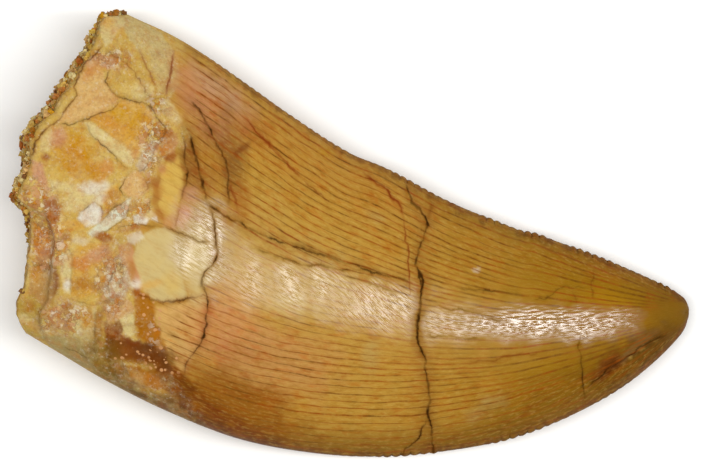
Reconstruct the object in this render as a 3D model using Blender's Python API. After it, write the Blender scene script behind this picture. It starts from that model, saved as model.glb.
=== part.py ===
"""A carcharodontosaurus tooth, lying on its flatter side with the broken base at -X and the tip at +X.

Blender 4.5, metres, +Z up. The origin is the middle of the bounding box on the surface that the tooth
lies on. The tooth is one fossil, so it is one closed solid: a loft of lens-shaped rings between its two
edges, the serrated hollow-curved distal edge (+Y) and the bulging mesial edge (-Y). The rings start on the
broken face of the base, run over its rim, and close at the tip.
"""

import math

import bmesh
import bpy
from mathutils import Vector, noise

MM = 0.001

# Outline seen from above, in millimetres. Each edge runs from the base to the tip.
DISTAL_EDGE = [
    (-16.10, 15.75), (-11.60, 13.50), (-4.05, 8.25), (-0.50, 6.00), (2.40, 4.75), (6.65, 2.50),
    (11.65, 0.45), (13.35, 0.00), (18.05, -1.75), (21.65, -3.30), (23.55, -4.35), (24.05, -5.10),
    (24.10, -5.50),
]
MESIAL_EDGE = [
    (-23.35, -7.00), (-20.85, -8.50), (-17.65, -10.40), (-13.35, -12.55), (-8.35, -14.50),
    (-3.35, -15.50), (1.65, -15.82), (6.65, -15.42), (10.98, -14.60), (15.25, -13.03),
    (18.85, -11.10), (21.40, -9.20), (23.45, -7.15), (24.02, -6.00), (24.10, -5.50),
]
# The broken base, from the distal corner to the mesial one: its furthest reach to the left.
BROKEN_BASE = [
    (-16.10, 15.75), (-17.90, 15.60), (-18.20, 15.10), (-18.55, 14.10), (-19.30, 12.60),
    (-20.50, 10.80), (-21.55, 9.00), (-23.05, 7.40), (-23.40, 6.50), (-23.05, 5.50), (-23.15, 4.70),
    (-23.90, 2.80), (-23.05, 1.75), (-22.90, 0.50), (-23.10, -1.00), (-23.20, -2.20),
    (-23.45, -3.70), (-24.00, -4.70), (-24.07, -5.50), (-23.70, -6.45), (-23.35, -7.00),
]

# Thickness, as shares of the crown's width at each ring.
THICK_AT_BASE = 0.415
THICK_AT_TIP = 0.56
UPPER_SHARE = 0.55
DISTAL_SHARPNESS = 0.80
MESIAL_SHARPNESS_BASE = 0.52
MESIAL_SHARPNESS_TIP = 0.80

# How the lower side lies: the height of its crest over the surface, before it is worn flat there.
CREST_AT_BASE = 0.25
CREST_ON_FLAT = -0.20
CREST_AT_TIP = 1.15

# Serrations: one denticle is two rings of the loft.
DENTICLE_PITCH = 0.57
DENTICLE_HEIGHT = 0.20
DISTAL_DENTICLES_FROM = 0.12
MESIAL_DENTICLES_FROM = 0.43
DENTICLES_TO = 0.94

# The broken base: how far the shell's rim stands back from the sandy fill, and the lumps on the break.
RIM_SETBACK_DISTAL = 0.85
RIM_SETBACK_MESIAL = 0.30
RIM_SETBACK_FADES = 0.03
RIM_SETBACK_ALONG = (1.0, -0.18)
BASE_BOW_POWER = 15.6
BASE_LUMP = 0.32
BASE_LUMPS_PER_MM = 0.9
BASE_FOLD = 0.90

# A ledge beside the mesial part of the broken base, between these shares across the crown.
LEDGE_STARTS = (0.62, 0.70)
LEDGE_ENDS = (0.93, 1.00)
LEDGE_WIDTH = 2.1
LEDGE_SLOPE = 0.4
LEDGE_DROP = 0.75

# A flake lost beside the mesial edge near the tip: the line of its step, and its depth.
FLAKE_STEP = [(16.60, -10.95), (17.60, -9.90), (18.60, -9.20), (19.80, -8.45), (20.80, -7.75), (22.30, -7.00)]
FLAKE_DEPTH = 0.30
FLAKE_WIDTH = 1.30
FLAKE_FADES_IN = 0.15
FLAKE_FADES_OUT = 0.80

# The brown patch near the mesial side of the base, where the enamel is gone: a shallow hollow.
PATCH_CENTRE = (-14.90, -8.20)
PATCH_REACH = (3.30, 2.30)
PATCH_FLOOR = 0.7
PATCH_DEPTH = 0.28

# No hollow takes more than this share of the upper side's height.
DEEPEST_HOLLOW = 0.8

# Mesh density.
COLUMNS = 14
BASE_RINGS = 13
TIP_RINGS = 8
BREAK_RINGS = 6
CURVE_STEPS = 16
EDGE_CROWDING = 0.6

TOOTH_COLOUR = (0.55, 0.32, 0.10, 1.0)


def clear_scene():
    for obj in list(bpy.data.objects):
        bpy.data.objects.remove(obj, do_unlink=True)


def smoothstep(low, high, x):
    share = min(1.0, max(0.0, (x - low) / (high - low)))
    return share * share * (3.0 - 2.0 * share)


def mix(a, b, share):
    return a + (b - a) * share


def curve_through(points):
    """A fine polyline on the Catmull-Rom curve through the points."""
    knots = [Vector(p) for p in points]
    knots = [2 * knots[0] - knots[1], *knots, 2 * knots[-1] - knots[-2]]
    line = []
    for a, b, c, d in zip(knots, knots[1:], knots[2:], knots[3:]):
        for step in range(CURVE_STEPS):
            t = step / CURVE_STEPS
            line.append(0.5 * (2 * b + (c - a) * t + (2 * a - 5 * b + 4 * c - d) * t * t
                               + (3 * b - a - 3 * c + d) * t * t * t))
    return [*line, knots[-2]]


class Path:
    """A polyline that is read by its share of length, from 0 to 1."""

    def __init__(self, line):
        self.line = line
        self.reach = [0.0]
        for a, b in zip(line, line[1:]):
            self.reach.append(self.reach[-1] + (b - a).length)
        self.length = self.reach[-1]

    def at(self, share):
        wanted = min(1.0, max(0.0, share)) * self.length
        low, high = 0, len(self.line) - 1
        while high - low > 1:
            middle = (low + high) // 2
            low, high = (middle, high) if self.reach[middle] <= wanted else (low, middle)
        span = self.reach[high] - self.reach[low]
        return self.line[low].lerp(self.line[high], (wanted - self.reach[low]) / span)

    def side_of(self, point):
        """The distance to the line, positive on the right of its direction, and the share of length there."""
        best, found = 1e9, (0.0, 0.0)
        for index, (a, b) in enumerate(zip(self.line, self.line[1:])):
            run = b - a
            t = min(1.0, max(0.0, (point - a).dot(run) / run.length_squared))
            off = point - a.lerp(b, t)
            if off.length < best:
                best = off.length
                side = 1.0 if run.x * off.y - run.y * off.x < 0 else -1.0
                found = (side * best, mix(self.reach[index], self.reach[index + 1], t) / self.length)
        return found


DISTAL = Path(curve_through(DISTAL_EDGE))
MESIAL = Path(curve_through(MESIAL_EDGE))
BASE = Path([Vector(p) for p in BROKEN_BASE])
FLAKE = Path([Vector(p) for p in FLAKE_STEP])


def ring_stations():
    """Where the rings stand, as shares of the edges' length, and whether each is a denticle's top."""
    serrated = DENTICLES_TO - DISTAL_DENTICLES_FROM
    pairs = round(serrated * DISTAL.length / DENTICLE_PITCH)
    stations = [(DISTAL_DENTICLES_FROM * (i / BASE_RINGS) ** 1.25, 0.0) for i in range(BASE_RINGS)]
    for i in range(2 * pairs):
        top = 1.0 if i % 2 else -1.0
        stations.append((DISTAL_DENTICLES_FROM + serrated * i / (2 * pairs), top))
    for i in range(TIP_RINGS + 1):
        stations.append((mix(DENTICLES_TO, 1.0, math.sin(0.5 * math.pi * i / TIP_RINGS)), 0.0))
    return stations


def columns():
    """Shares across the crown, closer together at the two edges."""
    even = [i / COLUMNS for i in range(COLUMNS + 1)]
    return [mix(v, 0.5 - 0.5 * math.cos(math.pi * v), EDGE_CROWDING) for v in even]


def base_shift(u, v):
    """How far the broken base carries this point past the straight chord between the edges."""
    chord = DISTAL.at(0).lerp(MESIAL.at(0), v)
    return (BASE.at(v) - chord) * (1.0 - u) ** BASE_BOW_POWER


def plan(u, v, setback):
    """The place from above of a point a share u along the edges and v across them."""
    point = DISTAL.at(u).lerp(MESIAL.at(u), v) + base_shift(u, v)
    along = Vector(RIM_SETBACK_ALONG).normalized()
    return point + along * setback * max(0.0, 1.0 - u / RIM_SETBACK_FADES) * math.sin(math.pi * v) ** 0.5


def lens(u, v):
    """The cross-section's height, from 0 at both edges to 1 at the crest."""
    mesial = mix(MESIAL_SHARPNESS_BASE, MESIAL_SHARPNESS_TIP, smoothstep(0.15, 0.60, u))
    power = mix(DISTAL_SHARPNESS, mesial, smoothstep(0.2, 0.8, v))
    return max(0.0, 4.0 * v * (1.0 - v)) ** power


def thickness(u):
    width = (DISTAL.at(u) - MESIAL.at(u)).length
    return width * mix(THICK_AT_BASE, THICK_AT_TIP, smoothstep(0.45, 1.0, u))


def crest_height(u):
    rise = mix(CREST_AT_BASE, CREST_ON_FLAT, smoothstep(0.0, 0.10, u))
    return mix(rise, CREST_AT_TIP, smoothstep(0.60, 1.0, u))


def edge_height(u):
    """The height of both edges over the surface: the lower side's depth above its crest."""
    return crest_height(u) + (1.0 - UPPER_SHARE) * thickness(u)


def rim_setback(v):
    return mix(RIM_SETBACK_DISTAL, RIM_SETBACK_MESIAL, smoothstep(0.45, 0.60, v))


def upper_relief(v, point):
    """Hollows and ledges of the upper side, in millimetres to take off."""
    from_base = (point - BASE.at(v)).length
    ledge = smoothstep(*LEDGE_STARTS, v) * (1.0 - smoothstep(*LEDGE_ENDS, v))
    lost = LEDGE_DROP * ledge * (1.0 - smoothstep(LEDGE_WIDTH - LEDGE_SLOPE, LEDGE_WIDTH, from_base))
    away = math.hypot((point.x - PATCH_CENTRE[0]) / PATCH_REACH[0], (point.y - PATCH_CENTRE[1]) / PATCH_REACH[1])
    lost += PATCH_DEPTH * (1.0 - smoothstep(PATCH_FLOOR, 1.0, away))
    side, share = FLAKE.side_of(point)
    if 0.0 < share < 1.0 and side > 0.0:
        ends = smoothstep(0.0, FLAKE_FADES_IN, share) * (1.0 - smoothstep(FLAKE_FADES_OUT, 1.0, share))
        lost += FLAKE_DEPTH * ends * (1.0 - smoothstep(0.0, FLAKE_WIDTH, side))
    return lost


def denticle(u, v, top):
    """How far this edge point stands out of the edge's line."""
    starts = DISTAL_DENTICLES_FROM if v < 0.5 else MESIAL_DENTICLES_FROM
    return 0.5 * DENTICLE_HEIGHT * top * smoothstep(starts - 0.01, starts + 0.06, u)


def crown_ring(u, top):
    """One closed ring: the distal edge, the upper side, the mesial edge and the lower side."""
    across = columns()
    outward = DISTAL.at(u) - MESIAL.at(u)
    outward = outward.normalized() if outward.length > 0 else Vector((0.0, 1.0))
    upper, lower = [], []
    for v in across:
        deep = thickness(u) * lens(u, v)
        height = edge_height(u)
        above = plan(u, v, rim_setback(v))
        below = plan(u, v, RIM_SETBACK_MESIAL)
        if v in (across[0], across[-1]):
            above = above + outward * denticle(u, v, top) * (1.0 if v < 0.5 else -1.0)
            upper.append(Vector((above.x, above.y, height)))
            continue
        lost = min(upper_relief(v, above), DEEPEST_HOLLOW * UPPER_SHARE * deep)
        upper.append(Vector((above.x, above.y, height + UPPER_SHARE * deep - lost)))
        lower.append(Vector((below.x, below.y, max(0.0, height - (1.0 - UPPER_SHARE) * deep))))
    return upper + lower[::-1]


def break_ring(rim, share):
    """A ring on the broken face: share 0 is a line along its middle, and 1 would be the rim."""
    across = columns()
    shares = across + across[-2:0:-1]
    ring = []
    for point, v in zip(rim, shares):
        inner = 0.5 + (v - 0.5) * mix(BASE_FOLD, 1.0, share)
        out = BASE.at(inner)
        height = mix(edge_height(0.0), point.z, share)
        swell = math.sqrt(1.0 - share ** 2.5)
        spot = Vector((mix(point.x, out.x, swell), mix(point.y, out.y, swell), height))
        lump = noise.noise(Vector((spot.y * BASE_LUMPS_PER_MM, spot.z * BASE_LUMPS_PER_MM, 3.1)))
        spot.x += BASE_LUMP * (lump - 0.4) * math.sin(math.pi * v) * (1.0 - share)
        ring.append(spot)
    return ring


def loft(rings):
    """A closed mesh of quads between the rings, whose first and last rings are folded shut."""
    mesh = bmesh.new()
    loops = [[mesh.verts.new(point * MM) for point in ring] for ring in rings]
    for near, far in zip(loops, loops[1:]):
        for i in range(len(near)):
            j = (i + 1) % len(near)
            mesh.faces.new((near[i], near[j], far[j], far[i]))
    bmesh.ops.remove_doubles(mesh, verts=mesh.verts, dist=0.002 * MM)
    bmesh.ops.triangulate(mesh, faces=mesh.faces)
    bmesh.ops.recalc_face_normals(mesh, faces=mesh.faces)
    return mesh


def fossil_material():
    material = bpy.data.materials.new("fossil_enamel")
    material.use_nodes = True
    shader = material.node_tree.nodes["Principled BSDF"]
    shader.inputs["Base Color"].default_value = TOOTH_COLOUR
    shader.inputs["Roughness"].default_value = 0.35
    shader.inputs["Metallic"].default_value = 0.0
    return material


def build_tooth():
    rim = crown_ring(0.0, 0.0)
    rings = [break_ring(rim, i / BREAK_RINGS) for i in range(BREAK_RINGS)]
    rings += [crown_ring(u, top) for u, top in ring_stations()]
    mesh = loft(rings)
    data = bpy.data.meshes.new("tooth")
    mesh.to_mesh(data)
    mesh.free()
    tooth = bpy.data.objects.new("tooth", data)
    bpy.context.scene.collection.objects.link(tooth)
    data.shade_smooth()
    data.set_sharp_from_angle(angle=math.radians(40))
    data.materials.append(fossil_material())
    return tooth


clear_scene()
build_tooth()
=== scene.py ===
"""The look of a carcharodontosaurus tooth, on its side: a honey-brown crown over a broken, sandy base.

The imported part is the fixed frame, in metres. The form's own numbers are millimetres, and marks on the upper
side are placed in the photograph's 708 x 472 pixels, which one function turns into millimetres. The tooth is
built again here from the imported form's own values, at a finer mesh, with its cracks, chips and serrations.
"""

import itertools
import logging
import math
from dataclasses import dataclass
from enum import Enum
from functools import cached_property

import bmesh
import bpy
import numpy as np
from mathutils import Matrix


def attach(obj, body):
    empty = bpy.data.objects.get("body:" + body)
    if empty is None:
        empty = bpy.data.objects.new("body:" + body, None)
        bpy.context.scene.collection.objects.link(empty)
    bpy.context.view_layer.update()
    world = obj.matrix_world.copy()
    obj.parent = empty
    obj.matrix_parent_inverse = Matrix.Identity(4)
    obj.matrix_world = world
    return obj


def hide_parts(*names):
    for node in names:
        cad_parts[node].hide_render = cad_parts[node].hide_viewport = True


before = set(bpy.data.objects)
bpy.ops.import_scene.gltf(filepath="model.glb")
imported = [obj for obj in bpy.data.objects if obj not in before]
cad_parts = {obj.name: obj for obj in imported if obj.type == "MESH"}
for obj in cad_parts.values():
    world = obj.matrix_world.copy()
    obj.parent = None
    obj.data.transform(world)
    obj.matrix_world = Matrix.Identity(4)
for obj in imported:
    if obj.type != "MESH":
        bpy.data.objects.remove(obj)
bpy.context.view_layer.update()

MM = 0.001
PIXELS_PER_MM = 14.0
IMAGE_WIDTH_PX = 708.0
MIDDLE_PX = (354.0, 235.5)
FAR_AWAY = 99.0
MIRRORED_WALLS = 0.006
EDGE_RAGGED = 0.30
WARP_COARSE = 0.13
WARP_FINE = 0.085

Points = tuple[tuple[float, float], ...]
Oval = tuple[tuple[float, float], tuple[float, float]]
log = logging.getLogger("tooth")


def in_mm(pixels: Points) -> np.ndarray:
    """Turn places in the photograph into millimetres on the plane of the tooth's edges.

    Args:
        pixels: places in the photograph's frame, x to the right and y down.

    Returns:
        One row of x and y for each place.
    """
    places = np.asarray(pixels, float)
    return np.stack([places[:, 0] - MIDDLE_PX[0], MIDDLE_PX[1] - places[:, 1]], axis=1) / PIXELS_PER_MM


def linear(colour: str) -> np.ndarray:
    """Turn an sRGB hex colour into linear red, green and blue.

    Args:
        colour: six hex digits after a hash.

    Returns:
        The three linear values.
    """
    value = np.array([int(colour[i:i + 2], 16) / 255 for i in (1, 3, 5)])
    return np.where(value <= 0.04045, value / 12.92, ((value + 0.055) / 1.055) ** 2.4)


def smoothstep(low: float, high: float, x: np.ndarray) -> np.ndarray:
    """Rise smoothly from 0 at low to 1 at high."""
    share = np.clip((x - low) / (high - low), 0.0, 1.0)
    return share * share * (3.0 - 2.0 * share)


def mix(a: np.ndarray, b: np.ndarray, share: np.ndarray) -> np.ndarray:
    """Go from a at share 0 to b at share 1."""
    return a + (b - a) * share


def value_noise(points: np.ndarray, seed: int) -> np.ndarray:
    """Give smooth noise with one lattice cell to a unit.

    Args:
        points: rows of two or three coordinates.
        seed: a number that picks the noise.

    Returns:
        One value from -1 to 1 for each row.
    """
    cell = np.floor(points).astype(np.int64)
    part = points - cell
    part = part * part * part * (part * (part * 6.0 - 15.0) + 10.0)
    primes = np.array([73856093, 19349663, 83492791], np.int64)[:points.shape[1]]
    total = np.zeros(len(points))
    for corner in itertools.product((0, 1), repeat=points.shape[1]):
        mixed = ((cell + corner) @ primes + seed * 2246822519) & 0xFFFFFFFF
        mixed = ((mixed ^ (mixed >> 15)) * 2146121005) & 0xFFFFFFFF
        mixed = ((mixed ^ (mixed >> 12)) * 1103515245) & 0xFFFFFFFF
        value = ((mixed >> 8) & 0xFFFF) / 32767.5 - 1.0
        total += value * np.where(corner, part, 1.0 - part).prod(axis=1)
    return total


def layered_noise(points: np.ndarray, seed: int, layers: int = 3) -> np.ndarray:
    """Add up finer and weaker layers of noise.

    Args:
        points: rows of coordinates, one unit to a cell of the coarsest layer.
        seed: a number that picks the noise.
        layers: how many layers there are.

    Returns:
        One value for each row, from about -1 to 1.
    """
    return sum(value_noise(points * 2.0 ** i, seed + 17 * i) * 0.5 ** i for i in range(layers)) / 1.4


class Path:
    """A line in the plane that is read by its share of length."""

    def __init__(self, points: np.ndarray, rounded: bool = False) -> None:
        """Keep the line.

        Args:
            points: rows of x and y in millimetres.
            rounded: whether the line is the smooth curve through the points.
        """
        self.line = self.curved(np.asarray(points, float)) if rounded else np.asarray(points, float)
        steps = np.linalg.norm(np.diff(self.line, axis=0), axis=1)
        self.reach = np.concatenate([[0.0], np.cumsum(steps)])
        self.length = float(self.reach[-1])

    @staticmethod
    def curved(knots: np.ndarray, steps: int = 16) -> np.ndarray:
        """Follow the Catmull-Rom curve through the knots.

        Args:
            knots: rows of x and y.
            steps: straight pieces from one knot to the next.

        Returns:
            The finer line's rows of x and y.
        """
        knots = np.vstack([2 * knots[0] - knots[1], knots, 2 * knots[-1] - knots[-2]])
        t = (np.arange(steps) / steps)[:, None]
        line = []
        for a, b, c, d in zip(knots, knots[1:], knots[2:], knots[3:]):
            line.append(0.5 * (2 * b + (c - a) * t + (2 * a - 5 * b + 4 * c - d) * t * t
                               + (3 * b - a - 3 * c + d) * t * t * t))
        return np.vstack([*line, knots[-2]])

    def at(self, share: np.ndarray) -> np.ndarray:
        """Give the places at these shares of the length."""
        reach = np.clip(share, 0.0, 1.0) * self.length
        return np.stack([np.interp(reach, self.reach, self.line[:, k]) for k in (0, 1)], axis=-1)

    def nearest(self, points: np.ndarray, margin: float = FAR_AWAY) -> tuple[np.ndarray, np.ndarray]:
        """Find how far the points are from the line.

        Args:
            points: rows of x and y.
            margin: points further than this from the line's box count as far away.

        Returns:
            The distance, positive on the right of the line's direction, and the share of length there.
        """
        low, high = self.line.min(axis=0) - margin, self.line.max(axis=0) + margin
        x, y = points[:, 0], points[:, 1]
        close = np.flatnonzero((x > low[0]) & (x < high[0]) & (y > low[1]) & (y < high[1]))
        best, side, share = np.full((3, len(close)), FAR_AWAY)
        here = points[close]
        for i in range(len(self.line) - 1):
            start, run = self.line[i], self.line[i + 1] - self.line[i]
            t = np.clip((here - start) @ run / (run @ run), 0.0, 1.0)
            off = here - start - t[:, None] * run
            away = np.hypot(off[:, 0], off[:, 1])
            better = away < best
            best = np.where(better, away, best)
            side = np.where(better, np.where(run[0] * off[:, 1] - run[1] * off[:, 0] < 0, 1.0, -1.0), side)
            share = np.where(better, mix(self.reach[i], self.reach[i + 1], t) / self.length, share)
        distance, shares = np.full(len(points), FAR_AWAY), np.zeros(len(points))
        distance[close], shares[close] = best * side, share
        return distance, shares


class Tint(Enum):
    """The colours of the fossil, as sRGB hex values."""

    @property
    def linear(self) -> np.ndarray:
        """Give the colour's own linear values, without the light that the surface mirrors."""
        return unveiled(self.value)

    HONEY = "#ac8438"
    CARAMEL = "#ac7b34"
    AMBER = "#89620e"
    TIP_OLIVE = "#75530a"
    DEEP_TIP = "#523705"
    # An olive that is partly the fossil's own colour and partly painted shade along the crown's edges.
    OLIVE_AND_EDGE_SHADE = "#6e4e06"
    # A brown that is partly the crown's own colour and partly painted shade on its lower side.
    LOWER_SIDE_BROWN_AND_SHADE = "#804c14"
    STRAW = "#ae8e48"
    # A grey laid under a highlight, a painted highlight tone so that the highlight reads grey-white rather
    # than warm.
    HIGHLIGHT_GROUND_GREY = "#a08550"
    ROSE = "#b27a52"
    ROSE_HONEY = "#bc844a"
    RUST = "#94501c"
    RED_BROWN = "#82341a"
    SMOKE_BROWN = "#6a4526"
    TAUPE = "#84643a"
    CREAM = "#cdb97e"
    PALE_GREEN = "#bfa970"
    TAN = "#c3a04e"
    PEACH = "#cda465"
    ORANGE = "#c9953a"
    MUSTARD = "#c08c0c"
    DEEP_MUSTARD = "#b97e00"
    CHALK = "#d9d2bf"
    SLIVER = "#cfcdb0"
    GREY = "#b8a184"
    PINK = "#bf8864"
    ORANGE_BROWN = "#bf7a38"
    TERRACE = "#b0854a"
    CORNER_OLIVE = "#b0913f"
    MOSS_GREY = "#a08d58"
    MOSS = "#84702f"
    UMBER = "#6e3a04"
    DARK_UMBER = "#58340e"
    OCHRE = "#a06408"
    GOLD = "#a8790c"


def soft_oval(places: np.ndarray, ragged: np.ndarray, centre: tuple[float, float],
              reach: tuple[float, float], soft: float, turn: float = 0.0) -> np.ndarray:
    """Say how much a soft-edged oval of the photograph covers each place.

    Args:
        places: rows of x and y in millimetres.
        ragged: noise from -1 to 1 that roughens the oval's edge.
        centre: the oval's middle, in photo pixels.
        reach: half its width and half its height, in photo pixels.
        soft: the share of the reach over which the edge fades, inward and outward.
        turn: how far it is turned, in degrees.

    Returns:
        A share from 0 to 1 for each place.
    """
    off = places - in_mm((centre,))[0]
    angle = math.radians(turn)
    turned = off @ np.array([[math.cos(angle), -math.sin(angle)], [math.sin(angle), math.cos(angle)]])
    round_off = np.linalg.norm(turned / (np.array(reach) / PIXELS_PER_MM), axis=1)
    return 1.0 - smoothstep(1.0 - soft, 1.0 + soft, round_off + EDGE_RAGGED * ragged)


@dataclass(frozen=True)
class Stain:
    """A soft-edged oval of one colour, placed in photo pixels. It is turned by degrees."""

    centre: tuple[float, float]
    reach: tuple[float, float]
    tint: Tint
    strength: float
    turn: float
    soft: float

    def cover(self, places: np.ndarray, ragged: np.ndarray) -> np.ndarray:
        """Say how much the stain covers each place, with its edge roughened by the noise."""
        return soft_oval(places, ragged, self.centre, self.reach, self.soft, self.turn)


@dataclass(frozen=True)
class Plate:
    """A fragment of the chipped base with a crisp outline of photo pixels. Rise and soft are millimetres."""

    outline: Points
    tint: Tint
    strength: float = 0.9
    rise: float = 0.0
    soft: float = 0.09
    ragged: float = 0.55

    def cover(self, places: np.ndarray) -> np.ndarray:
        """Say how much the plate covers each place.

        Args:
            places: rows of x and y in millimetres.

        Returns:
            A share from 0 to 1 for each place.
        """
        corners = in_mm(self.outline)
        away = np.abs(Path(np.vstack([corners, corners[:1]])).nearest(places, margin=1.0)[0])
        x, y = places.T
        inside = np.zeros(len(places), bool)
        for (x1, y1), (x2, y2) in zip(corners, np.roll(corners, -1, axis=0)):
            slope = (x2 - x1) / ((y2 - y1) or 1.0)
            inside ^= ((y1 > y) != (y2 > y)) & (x < x1 + slope * (y - y1))
        return smoothstep(-self.soft, self.soft, np.where(inside, away, -away))


@dataclass(frozen=True)
class Crack:
    """A crack through the surface, along a line of photo pixels. Sizes are millimetres."""

    line: Points
    width: float
    depth: float
    dark: float
    rust: float = 0.0
    halo: float = 0.22
    through: bool = False

    @cached_property
    def path(self) -> Path:
        """Give the crack's line in millimetres."""
        return Path(in_mm(self.line))


@dataclass(frozen=True)
class Viewpoint:
    """The camera straight above the tooth: a long lens, framed so that a millimetre is 14 pixels."""

    lens: float = 300.0
    sensor: float = 36.0
    edge_plane: float = 4.3
    drop: float = -0.036

    @property
    def distance(self) -> float:
        """Give the height over the plane of the edges, in millimetres."""
        return IMAGE_WIDTH_PX / PIXELS_PER_MM * self.lens / self.sensor

    def seen(self, places: np.ndarray) -> np.ndarray:
        """Give where points stand in the picture.

        Args:
            places: rows of x, y and z in millimetres.

        Returns:
            Rows of x and y in millimetres on the plane of the edges.
        """
        nearer = self.distance / (self.distance - (places[:, 2] - self.edge_plane))
        middle = np.array([0.0, self.drop])
        return middle + (places[:, :2] - middle) * nearer[:, None]

    def build(self) -> bpy.types.Object:
        """Add the camera and make it the scene's own."""
        data = bpy.data.cameras.new("camera")
        data.lens, data.sensor_width = self.lens, self.sensor
        data.clip_start, data.clip_end = 0.01, 5.0
        camera = placed("camera", data)
        camera.location = (0.0, self.drop * MM, (self.distance + self.edge_plane) * MM)
        bpy.context.scene.camera = camera
        return camera


@dataclass(frozen=True)
class ToothForm:
    """The tooth's outline and cross-sections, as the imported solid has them. Everything is in millimetres."""

    distal_edge: Points = (
        (-16.10, 15.75), (-11.60, 13.50), (-4.05, 8.25), (-0.50, 6.00), (2.40, 4.75), (6.65, 2.50),
        (11.65, 0.45), (13.35, 0.00), (18.05, -1.75), (21.65, -3.30), (23.55, -4.35), (24.05, -5.10),
        (24.10, -5.50),
    )
    mesial_edge: Points = (
        (-23.35, -7.00), (-20.85, -8.50), (-17.65, -10.40), (-13.35, -12.55), (-8.35, -14.50),
        (-3.35, -15.50), (1.65, -15.82), (6.65, -15.42), (10.98, -14.60), (15.25, -13.03),
        (18.85, -11.10), (21.40, -9.20), (23.45, -7.15), (24.02, -6.00), (24.10, -5.50),
    )
    broken_base: Points = (
        (-16.10, 15.75), (-17.90, 15.60), (-18.20, 15.10), (-18.55, 14.10), (-19.30, 12.60),
        (-20.50, 10.80), (-21.55, 9.00), (-23.05, 7.40), (-23.40, 6.50), (-23.05, 5.50), (-23.15, 4.70),
        (-23.90, 2.80), (-23.05, 1.75), (-22.90, 0.50), (-23.10, -1.00), (-23.20, -2.20),
        (-23.45, -3.70), (-24.00, -4.70), (-24.07, -5.50), (-23.70, -6.45), (-23.35, -7.00),
    )
    thick_at_base: float = 0.415
    thick_at_tip: float = 0.56
    upper_share: float = 0.55
    distal_sharpness: float = 0.80
    mesial_sharpness_base: float = 0.52
    mesial_sharpness_tip: float = 0.80
    crest_at_base: float = 0.25
    crest_on_flat: float = -0.20
    crest_at_tip: float = 1.15
    denticle_pitch: float = 0.57
    denticle_height: float = 0.20
    distal_denticles_from: float = 0.12
    mesial_denticles_from: float = 0.43
    denticles_to: float = 0.94
    rim_setback_distal: float = 0.85
    rim_setback_mesial: float = 0.30
    base_bow_power: float = 15.6
    base_lump: float = 0.32
    ledge_width: float = 2.1
    ledge_drop: float = 0.75
    flake_step: Points = (
        (16.60, -10.95), (17.60, -9.90), (18.60, -9.20), (19.80, -8.45), (20.80, -7.75), (22.30, -7.00),
    )
    flake_depth: float = 0.30
    flake_width: float = 1.30
    patch_centre: tuple[float, float] = (-14.90, -8.20)
    patch_reach: tuple[float, float] = (3.30, 2.30)
    patch_depth: float = 0.28

    @cached_property
    def distal(self) -> Path:
        """Give the serrated hollow-curved edge."""
        return Path(self.distal_edge, rounded=True)

    @cached_property
    def mesial(self) -> Path:
        """Give the bulging edge."""
        return Path(self.mesial_edge, rounded=True)

    @cached_property
    def base(self) -> Path:
        """Give the broken base, from the distal corner to the mesial one."""
        return Path(self.broken_base)

    @cached_property
    def flake(self) -> Path:
        """Give the step beside the lost flake."""
        return Path(self.flake_step)

    @cached_property
    def denticles(self) -> int:
        """Give the number of denticles on each edge."""
        serrated = self.denticles_to - self.distal_denticles_from
        return round(serrated * self.distal.length / self.denticle_pitch)

    def lens(self, u: np.ndarray, v: np.ndarray) -> np.ndarray:
        """Give the cross-section's height, from 0 at both edges to 1 at the crest."""
        mesial = mix(self.mesial_sharpness_base, self.mesial_sharpness_tip, smoothstep(0.15, 0.60, u))
        power = mix(self.distal_sharpness, mesial, smoothstep(0.2, 0.8, v))
        return np.maximum(0.0, 4.0 * v * (1.0 - v)) ** power

    def width(self, u: np.ndarray) -> np.ndarray:
        """Give the distance between the edges."""
        return np.linalg.norm(self.distal.at(u) - self.mesial.at(u), axis=-1)

    def thickness(self, u: np.ndarray) -> np.ndarray:
        """Give the crown's full thickness."""
        return self.width(u) * mix(self.thick_at_base, self.thick_at_tip, smoothstep(0.45, 1.0, u))

    def edge_height(self, u: np.ndarray) -> np.ndarray:
        """Give the height of both edges over the surface the tooth lies on."""
        rise = mix(self.crest_at_base, self.crest_on_flat, smoothstep(0.0, 0.10, u))
        rise = mix(rise, self.crest_at_tip, smoothstep(0.60, 1.0, u))
        return rise + (1.0 - self.upper_share) * self.thickness(u)

    def plan(self, u: np.ndarray, v: np.ndarray, setback: np.ndarray) -> np.ndarray:
        """Give the place from above of points on the crown.

        Args:
            u: share along the edges, from the base to the tip.
            v: share across, from the distal edge to the mesial one.
            setback: how far the rim stands back from the broken base's outline.

        Returns:
            Rows of x and y.
        """
        point = mix(self.distal.at(u), self.mesial.at(u), v[:, None])
        chord = mix(self.distal.line[0], self.mesial.line[0], v[:, None])
        point = point + (self.base.at(v) - chord) * ((1.0 - u) ** self.base_bow_power)[:, None]
        along = np.array([1.0, -0.18]) / math.hypot(1.0, 0.18)
        back = setback * np.maximum(0.0, 1.0 - u / 0.03) * np.sqrt(np.clip(np.sin(math.pi * v), 0.0, 1.0))
        return point + along * back[:, None]

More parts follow.
